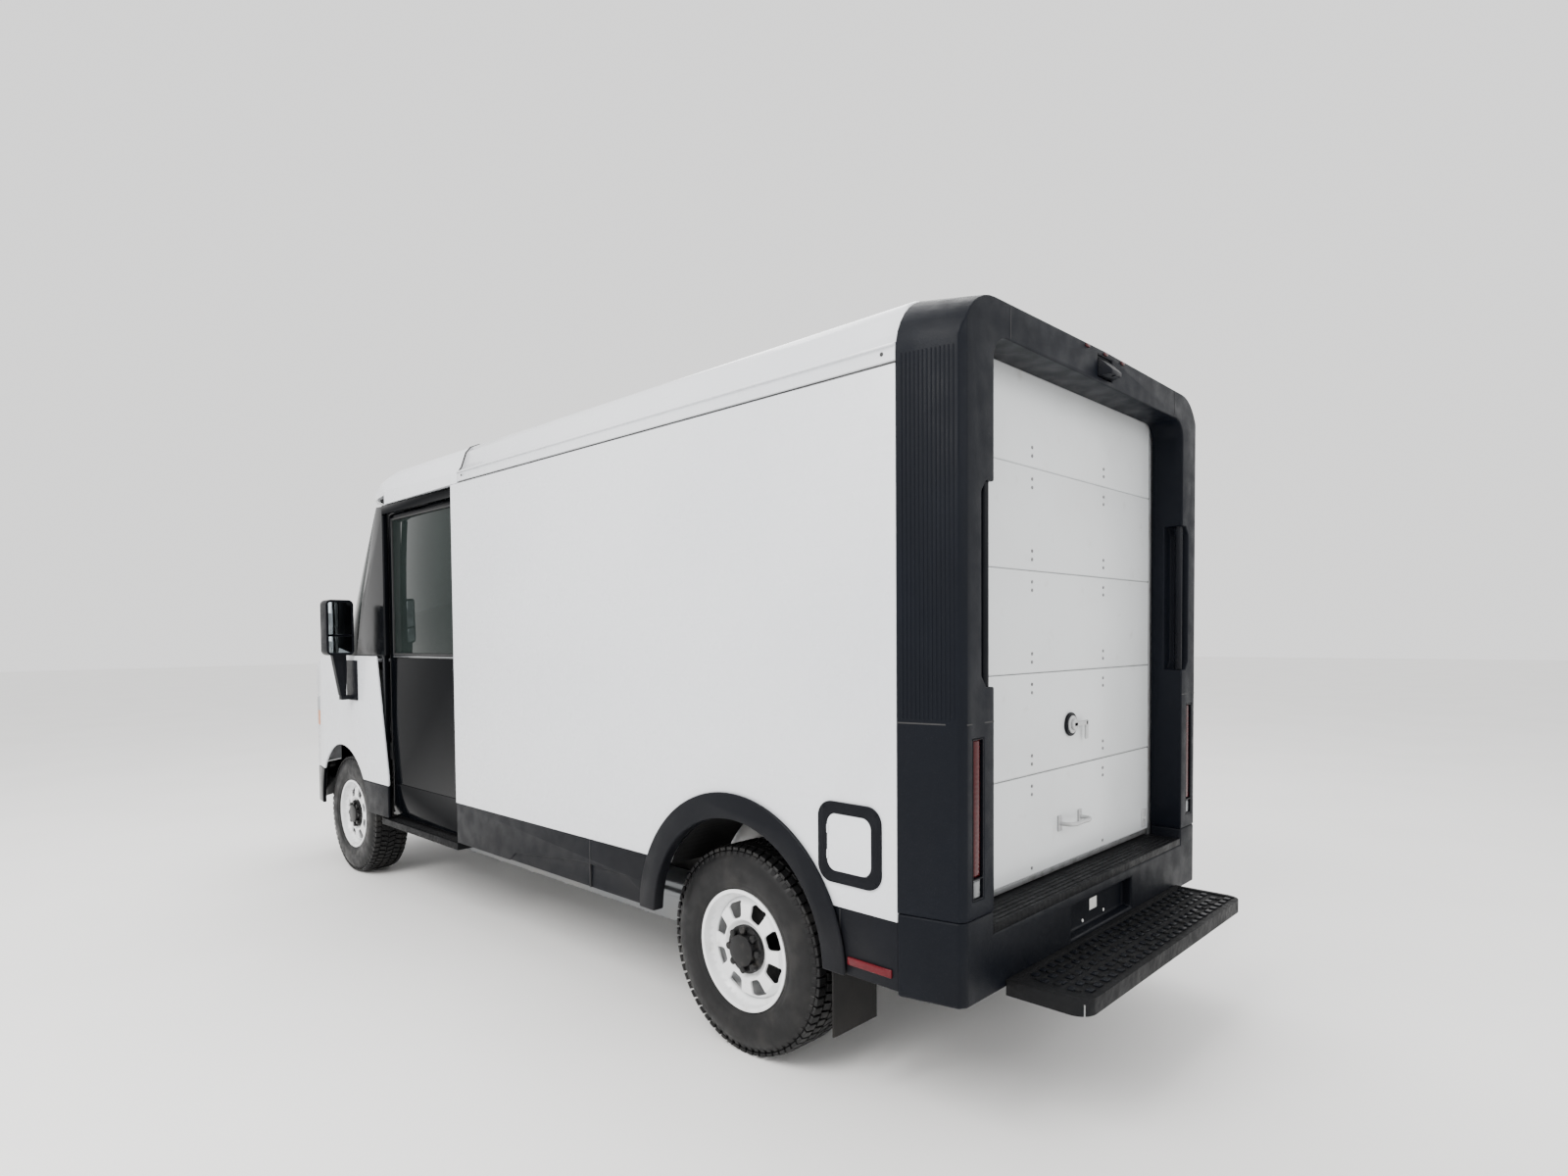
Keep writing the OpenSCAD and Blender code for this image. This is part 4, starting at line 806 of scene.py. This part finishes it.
# the rivets are white like the door; this grey is painted shade standing in for the small shadows round
# them. The section seals wear the same grey
rivet_grey = Finish("rivet_grey", (0.22, 0.225, 0.23), 0.4, Metallic=0.6)
rivet_grey.relief(rivet_grey.noise(500, 2.0), 0.0003, 0.3)
rivet_grey.tint((0.12, 0.12, 0.12), rivet_grey.noise(30, 3.0).ramp(0.4, 0.7, 0.0, 0.7))
track_steel = Finish("track_steel", (0.36, 0.37, 0.38), 0.36, Metallic=0.9)
track_steel.relief(track_steel.noise(30, 3.0, (1, 1, 0.1)), 0.0006, 0.4)
track_steel.tint((0.2, 0.19, 0.18), track_steel.noise(10, 4.0).ramp(0.5, 0.7, 0.0, 0.5))

door_low, door_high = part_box("door_panels")
curtain_y = door_high[1]
slats = 4
slat_pitch = (door_high[2] + 0.002 - door_low[2]) / slats
dressed("door_panels", door_white, 0.0022, 2)
dressed("door_top_panel", door_white, 0.0022, 2)
dressed("door_tracks", track_steel, 0.002)

shims = []
for i in range(1, slats):
    z = door_low[2] + i * slat_pitch
    shims.append(block("section_seal", (door_low[0] + 0.004, curtain_y - 0.014, z - 0.0016),
        (door_high[0] - 0.004, curtain_y - 0.0045, z - 0.0002)))
shims.append(block("bottom_seal", (door_low[0] + 0.004, door_low[1] + 0.004, door_low[2] - 0.022),
    (door_high[0] - 0.004, curtain_y - 0.006, door_low[2] + 0.001), 0.004))
fix(joined("section_seals", shims), "rear_door", rivet_grey)

STUD_X = 0.297


def stud(side, z):
    return disc("stud", (side * STUD_X, curtain_y + 0.0012, z), 0.0062, 0.0030, "Y", 12, 0.0010)


spots = [door_low[2] + 0.030]
for i in range(1, slats):
    spots += [door_low[2] + i * slat_pitch + dz for dz in (-0.070, -0.040, 0.040, 0.070)]
spots += [door_high[2] - 0.040, door_high[2] - 0.070]
studs = [stud(side, z) for side in (-1, 1) for z in spots]
fix(joined("door_rivets", studs), "rear_door", rivet_grey, ("door_fittings",))
top_studs = [stud(side, door_high[2] + dz) for side in (-1, 1) for dz in (0.042, 0.072)]
fix(joined("top_panel_rivets", top_studs), "rear_door_top", rivet_grey)


def bent_rod(name, points, radius):
    data = bpy.data.curves.new(name, "CURVE")
    data.dimensions = "3D"
    data.bevel_depth = radius
    data.bevel_resolution = 4
    data.use_fill_caps = True
    line = data.splines.new("BEZIER")
    line.bezier_points.add(len(points) - 1)
    for point, at in zip(line.bezier_points, points):
        point.co = at
        point.handle_left_type = point.handle_right_type = "AUTO"
    data.resolution_u = 8
    rod = bpy.data.objects.new(name, data)
    bpy.context.collection.objects.link(rod)
    pick(rod)
    bpy.ops.object.convert(target="MESH")
    return bpy.context.object


pull_z = door_low[2] + 0.160
PULL_HALF = 0.085
bend = ((PULL_HALF, 0.004), (PULL_HALF - 0.001, 0.035), (PULL_HALF - 0.017, 0.051))
rod_line = [(-x, curtain_y + out, pull_z) for x, out in bend] + [(0, curtain_y + 0.053, pull_z)]
rod_line += [(x, curtain_y + out, pull_z) for x, out in reversed(bend)]
rod = bent_rod("pull_rod", rod_line, 0.0078)
feet = []
for x in (-PULL_HALF, PULL_HALF):
    feet.append(block("pull_foot", (x - 0.014, curtain_y, pull_z - 0.030),
        (x + 0.014, curtain_y + 0.007, pull_z + 0.030), 0.003))
    for dz in (-0.021, 0.021):
        feet.append(disc("pull_screw", (x, curtain_y + 0.0075, pull_z + dz), 0.0045, 0.003, "Y", 12,
            0.0008))
fix(joined("pull_handle", [rod] + feet), "rear_door", fitting_white_painted_shade, ("door_fittings",))
catches = []
for s in (-1, 1):
    x = s * (door_high[0] - 0.046)
    catches.append(block("catch_plate", (x - 0.022, curtain_y, door_low[2] + 0.016),
        (x + 0.022, curtain_y + 0.004, door_low[2] + 0.096), 0.0015))
    catches.append(disc("catch_pin", (x, curtain_y + 0.0065, door_low[2] + 0.056), 0.009, 0.007, "Y", 20))
    for z in (0.026, 0.086):
        catches.append(disc("catch_screw", (x, curtain_y + 0.005, door_low[2] + z), 0.004, 0.003, "Y", 10,
            0.0006))
fix(joined("corner_catches", catches), "rear_door", fitting_white_painted_shade, ("door_fittings",))

latch_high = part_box("latch_handle")[1]
latch_z = latch_high[2] - 0.046
boss = [disc("escutcheon", (0, curtain_y + 0.0060, latch_z), 0.046, 0.010, "Y", 40, 0.003)]
fix(joined("latch_escutcheon", boss), "latch", bar_black, ("latch_handle",))
arm_in, arm_out = curtain_y + 0.0165, curtain_y + 0.026
lever = [block("lever_arm", (-0.110, arm_in, latch_z - 0.010), (0.010, arm_out, latch_z + 0.010), 0.004, 3),
    block("lever_grip", (-0.112, arm_in, latch_z - 0.063), (-0.091, arm_out, latch_z + 0.010), 0.004, 3),
    disc("lever_plate", (0, curtain_y + 0.0135, latch_z), 0.034, 0.006, "Y", 36, 0.002),
    disc("lever_cap", (0, curtain_y + 0.0215, latch_z), 0.021, 0.009, "Y", 28, 0.002)]
fix(joined("latch_lever", lever), "latch", fitting_white_painted_shade, ("latch_handle",))

# ---- cab shell ----
# White cab roof and fenders, a gloss-black pillar and door frame, a deep black front fascia, a short
# white hood, and a wrapped laminated windscreen bonded to the pillars.

gloss_black = Finish("gloss_black", (0.0018, 0.0022, 0.003), 0.10, IOR=1.10)
gloss_black.relief(gloss_black.noise(4.5, 3.0), 0.0015, 0.22)
gloss_black.tint((0.0036, 0.004, 0.005), gloss_black.noise(3, 3.0).ramp(0.4, 0.7, 0.0, 0.6))
gloss_black.roughen(gloss_black.noise(11, 5.0).ramp(0.5, 0.8, 0.0, 0.10))
cab_white = white_paint("cab_white", 0.2)
cab_white.relief(cab_white.noise(3, 2.0), 0.0010, 0.2)
# the glass is near-black and nearly opaque: painted shade of the cab interior seen through it, over a faint
# green tint
glass = Finish("window_glass", (0.014, 0.019, 0.018), 0.035, Alpha=0.92, IOR=1.2)
glass.relief(glass.noise(2.4, 2.0), 0.0012, 0.15)
glass.roughen(glass.noise(8, 4.0).ramp(0.5, 0.8, 0.0, 0.05))
glass.tint((0.022, 0.030, 0.028), glass.noise(1.6, 3.0).ramp(0.4, 0.7, 0.0, 0.5))
dressed("cab_roof", cab_white, 0.012, 3, 14)
dressed("front_fenders", cab_white, 0.009, 3, 25)
dressed("hood", cab_white, 0.007, 3, 25)
dressed("cab_frame", gloss_black, 0.004, 2)
dressed("front_fascia", gloss_black, 0.008, 3, 25)
dressed("windscreen", glass, 0.002, 2, 40)
lamp_clear = lens("headlamp_lens", (0.30, 0.32, 0.34))
lamp_clear.tint((0.50, 0.15, 0.015), (lamp_clear.axis("X").abs() > 0.925) * (lamp_clear.axis("Z") < 1.09))
dressed("front_lamps", lamp_clear, 0.004)
nose_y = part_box("front_fascia")[0][1]
CORE_HALF_W, CORE_Z0, CORE_Z1 = 0.41, 0.600, 0.900
FINS, FIN_SPAN = 27, 0.78
core = [block("radiator_frame", (-CORE_HALF_W, nose_y + 0.135, z - 0.012),
    (CORE_HALF_W, nose_y + 0.175, z + 0.012), 0.004) for z in (CORE_Z0, CORE_Z1)]
core.append(block("radiator_sheet", (-CORE_HALF_W + 0.005, nose_y + 0.160, CORE_Z0 + 0.005),
    (CORE_HALF_W - 0.005, nose_y + 0.168, CORE_Z1 - 0.005), 0.001))
for i in range(FINS):
    x = FIN_SPAN * (i / (FINS - 1) - 0.5)
    core.append(block("radiator_fin", (x - 0.002, nose_y + 0.145, CORE_Z0 + 0.010),
        (x + 0.002, nose_y + 0.162, CORE_Z1 - 0.010)))
fix(joined("radiator_core", core), "truck", chassis_black)

# ---- cab doors ----
# Sliding doors in gloss black, each with a large dropped glass, a bright belt line, a pressed seam
# low down and a black rubber edge. They run back into pockets behind the side panels.

dressed("cab_door_left", gloss_black, 0.003)
dressed("cab_door_right", gloss_black, 0.003)
dressed("door_glass_left", glass, 0.001)
dressed("door_glass_right", glass, 0.001)
belt_grey = Finish("belt_grey", (0.10, 0.105, 0.11), 0.25, Metallic=0.3, Coat_Weight=0.5)
belt_grey.relief(belt_grey.noise(50, 2.0), 0.0004, 0.3)
belt_grey.tint((0.09, 0.09, 0.095), belt_grey.noise(15, 3.0).ramp(0.4, 0.7, 0.0, 0.6))
for side in ("left", "right"):
    low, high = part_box("cab_door_" + side)
    glass_low, glass_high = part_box("door_glass_" + side)
    out = high[0] if side == "left" else low[0]
    s = 1 if side == "left" else -1

    def on_door(name, x0, x1, y0, y1, z0, z1, width=0.001):
        xs = sorted((out - s * x0, out - s * x1))
        return block(name, (xs[0], y0, z0), (xs[1], y1, z1), width)

    belt = on_door("belt_line_" + side, -0.0005, 0.007, low[1] + 0.056, high[1] - 0.030,
        glass_low[2] - 0.022, glass_low[2] - 0.010, 0.002)
    fix(belt, "door_" + side, belt_grey)
    edges = [on_door("edge", 0.004, 0.036, low[1] - 0.003, low[1] + 0.006, low[2] + 0.01,
        high[2] - 0.01, 0.002)]
    y_front, y_rear, z_foot, z_top = glass_low[1], glass_high[1], glass_low[2], glass_high[2]
    glazing = (
        (y_front - 0.008, y_rear + 0.008, z_top - 0.003, z_top + 0.008),
        (y_front - 0.008, y_rear + 0.008, z_foot - 0.008, z_foot + 0.003),
        (y_front - 0.008, y_front + 0.003, z_foot, z_top),
        (y_rear - 0.003, y_rear + 0.008, z_foot, z_top))
    edges += [on_door("glazing", 0.004, 0.015, *edge, 0.002) for edge in glazing]
    fix(joined("door_seals_" + side, edges), "door_" + side, seal_black)

# ---- mirrors ----
# Black mirrors on broad tapered arms that fold on a bracket below the windscreen pillar. Each head
# holds a tall flat glass with a short wide-angle glass below it.

mirror_glass = Finish("mirror_glass", (0.16, 0.18, 0.19), 0.03, Metallic=1.0)
mirror_glass.relief(mirror_glass.noise(6, 2.0), 0.0004, 0.1)
mirror_glass.tint((0.10, 0.12, 0.125), mirror_glass.noise(3, 2.0).ramp(0.4, 0.7, 0.0, 0.5))
shell_black = moulded_black("mirror_black", 0.34)
dressed("mirror_bases", shell_black, 0.005, 3)
HEAD_X, HEAD_Z = 1.087, 1.676
PLATE_HALF_W = 0.070
for side in ("left", "right"):
    dressed("mirror_" + side, shell_black, 0.009, 3)
    low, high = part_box("mirror_" + side)
    x = HEAD_X if side == "left" else -HEAD_X
    for part, z, height in (("flat", HEAD_Z + 0.060, 0.208), ("wide", HEAD_Z - 0.110, 0.106)):
        plate = block(f"mirror_{part}_{side}", (x - PLATE_HALF_W, high[1] - 0.0085, z - height / 2),
            (x + PLATE_HALF_W, high[1] - 0.0004, z + height / 2), 0.0012)
        fix(plate, f"mirror_{side}_body", mirror_glass)

# ---- dashboard, steering wheel and driver's seat ----
# A moulded dashboard on the wheel houses, a padded rim steering wheel, and a sprung bucket seat with
# cloth cushions over a steel pedestal.

dash_grey = Finish("dashboard_grey", (0.032, 0.034, 0.038), 0.6)
dash_grey.relief(dash_grey.grit(300), 0.0008, 0.6)
dash_grey.tint((0.05, 0.052, 0.055), dash_grey.noise(5, 4.0).ramp(0.4, 0.7, 0.0, 0.5))
dressed("dashboard", dash_grey, 0.008, 3)
grip_black = Finish("grip_black", (0.014, 0.014, 0.015), 0.48)
grip_black.relief(grip_black.grit(500), 0.0006, 0.6)
grip_black.tint((0.03, 0.03, 0.03), grip_black.noise(20, 3.0).ramp(0.4, 0.7, 0.0, 0.5))
dressed("steering_wheel", grip_black, 0.002)

seat_cloth = Finish("seat_cloth", (0.030, 0.031, 0.035), 0.85, Sheen_Weight=0.15)
seat_cloth.relief((seat_cloth.axis("X") * 2600).sine() * (seat_cloth.axis("Y") * 2600).sine(), 0.0006, 0.5)
seat_cloth.relief(seat_cloth.noise(18, 4.0), 0.003, 0.4)
seat_cloth.tint((0.055, 0.056, 0.06), seat_cloth.noise(120, 3.0).ramp(0.4, 0.65, 0.0, 0.7))
seat_low, seat_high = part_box("driver_seat")
seat_x = (seat_low[0] + seat_high[0]) / 2
PAD_SHY, PAD_CAP = 0.014, 0.012


def pad(name, size, at, lean):
    """A foam cushion: a soft-cornered block swollen inside its cover, then leant and placed."""
    piece = block(name, [-side / 2 + PAD_SHY for side in size], [side / 2 - PAD_SHY for side in size],
        0.034, 5)
    apply_modifier(piece, "REMESH", mode="VOXEL", voxel_size=0.007)
    before = [vertex.co.copy() for vertex in piece.data.vertices]
    pick(piece)
    cloth = piece.modifiers.new("cover", "CLOTH")
    cloth.settings.use_pressure = True
    cloth.settings.uniform_pressure_force = 4
    cloth.settings.effector_weights.gravity = 0
    for step in range(1, 21):
        bpy.context.scene.frame_set(step)
    bpy.ops.object.modifier_apply(modifier=cloth.name)
    for vertex, start in zip(piece.data.vertices, before):
        shift = vertex.co - start
        if shift.length > PAD_CAP:
            vertex.co = start + shift * (PAD_CAP / shift.length)
    bpy.context.scene.frame_set(1)
    apply_modifier(piece, "SMOOTH", factor=0.5, iterations=3)
    moved(piece, turn=(lean, 0, 0))
    moved(piece, at)
    smooth(piece, 60)
    return fix(piece, "seat_body", seat_cloth, ("driver_seat",))


def seam_cord(name, width, length, height, at, lean):
    """The piped seam round the edge of a cushion."""
    r = 0.05
    corners = ((width / 2 - r, length / 2 - r, 0), (-width / 2 + r, length / 2 - r, 90),
        (-width / 2 + r, -length / 2 + r, 180),
        (width / 2 - r, -length / 2 + r, 270))
    data = bpy.data.curves.new(name, "CURVE")
    data.dimensions = "3D"
    data.bevel_depth = 0.0032
    data.bevel_resolution = 2
    path = [(cx + r * math.cos(math.radians(a + d)), cy + r * math.sin(math.radians(a + d)), height)
        for cx, cy, a in corners for d in (0, 18, 36, 54, 72, 90)]
    line = data.splines.new("POLY")
    line.points.add(len(path) - 1)
    line.use_cyclic_u = True
    for point, place in zip(line.points, path):
        point.co = (*place, 1)
    piece = bpy.data.objects.new(name, data)
    bpy.context.collection.objects.link(piece)
    pick(piece)
    bpy.ops.object.convert(target="MESH")
    piece = bpy.context.object
    moved(piece, turn=(lean, 0, 0))
    moved(piece, at)
    smooth(piece, 60)
    return fix(piece, "seat_body", grip_black)


base_at = (seat_x, seat_low[1] + 0.250, seat_low[2] + 0.2595)
back_at = (seat_x, seat_low[1] + 0.520, seat_low[2] + 0.6295)
back_lean = math.atan2(-0.140, 0.600)
pad("seat_cushion", (0.480, 0.500, 0.120), base_at, 0)
pad("seat_back", (0.460, 0.098, 0.590), back_at, back_lean)
pad("head_rest", (0.240, 0.068, 0.150), (seat_x, seat_low[1] + 0.602, seat_low[2] + 1.035), back_lean * 0.6)
seam_cord("cushion_piping", 0.452, 0.472, 0.034, base_at, 0)
seam_cord("back_piping", 0.430, 0.560, 0.030, back_at, math.pi / 2 + back_lean)
frame_parts = [block("seat_pan", (seat_x - 0.225, seat_low[1] + 0.015, seat_low[2] + 0.186),
    (seat_x + 0.225, seat_low[1] + 0.485, seat_low[2] + 0.203), 0.006, 3)]
for i in range(5):
    z = seat_low[2] + 0.030 + i * 0.032
    frame_parts.append(block("bellows", (seat_x - 0.165, seat_low[1] + 0.090, z),
        (seat_x + 0.165, seat_low[1] + 0.400, z + 0.029), 0.011, 3))
for side in (-1, 1):
    x = seat_x + side * 0.17
    frame_parts.append(block("seat_runner", (x - 0.018, seat_low[1] + 0.062, seat_low[2]),
        (x + 0.018, seat_low[1] + 0.428, seat_low[2] + 0.030), 0.004))
    frame_parts.append(disc("head_post", (seat_x + side * 0.06, seat_low[1] + 0.583, seat_low[2] + 0.94),
        0.0065, 0.11, "Z", 16))
fix(joined("seat_frame", frame_parts), "seat_body", grip_black, ("driver_seat",))

# ---- windscreen wipers ----
# Two black wiper arms parked along the foot of the windscreen. Each carries a rubber blade that follows
# the curve of the glass, and sits on a round pivot.

glass_low, glass_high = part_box("windscreen")
wiper_z = glass_low[2] + 0.050
wipers = []
for side in (-1, 1):
    x0, x1 = sorted((side * 0.08, side * 0.60))
    y_in = glass_low[1] + 0.004
    for i in range(6):
        a, b = x0 + (x1 - x0) * i / 6, x0 + (x1 - x0) * (i + 1) / 6
        y = y_in + 0.034 * abs((a + b) / 2) / 0.52
        wipers.append(block("blade", (a, y - 0.010, wiper_z - 0.008),
            (b + 0.001, y + 0.004, wiper_z + 0.008), 0.002, 1))
    tip = side * 0.34
    wipers.append(block("arm", (min(tip, side * 0.10), y_in - 0.020, wiper_z - 0.030),
        (max(tip, side * 0.10), y_in - 0.010, wiper_z - 0.016), 0.003))
    wipers.append(block("arm_end", (tip - 0.010, y_in - 0.020, wiper_z - 0.030),
        (tip + 0.010, y_in - 0.008, wiper_z + 0.004), 0.003))
    wipers.append(disc("wiper_pivot", (side * 0.10, y_in - 0.014, wiper_z - 0.023), 0.014, 0.020, "Y", 20))
fix(joined("wipers", wipers), "truck", seal_black)
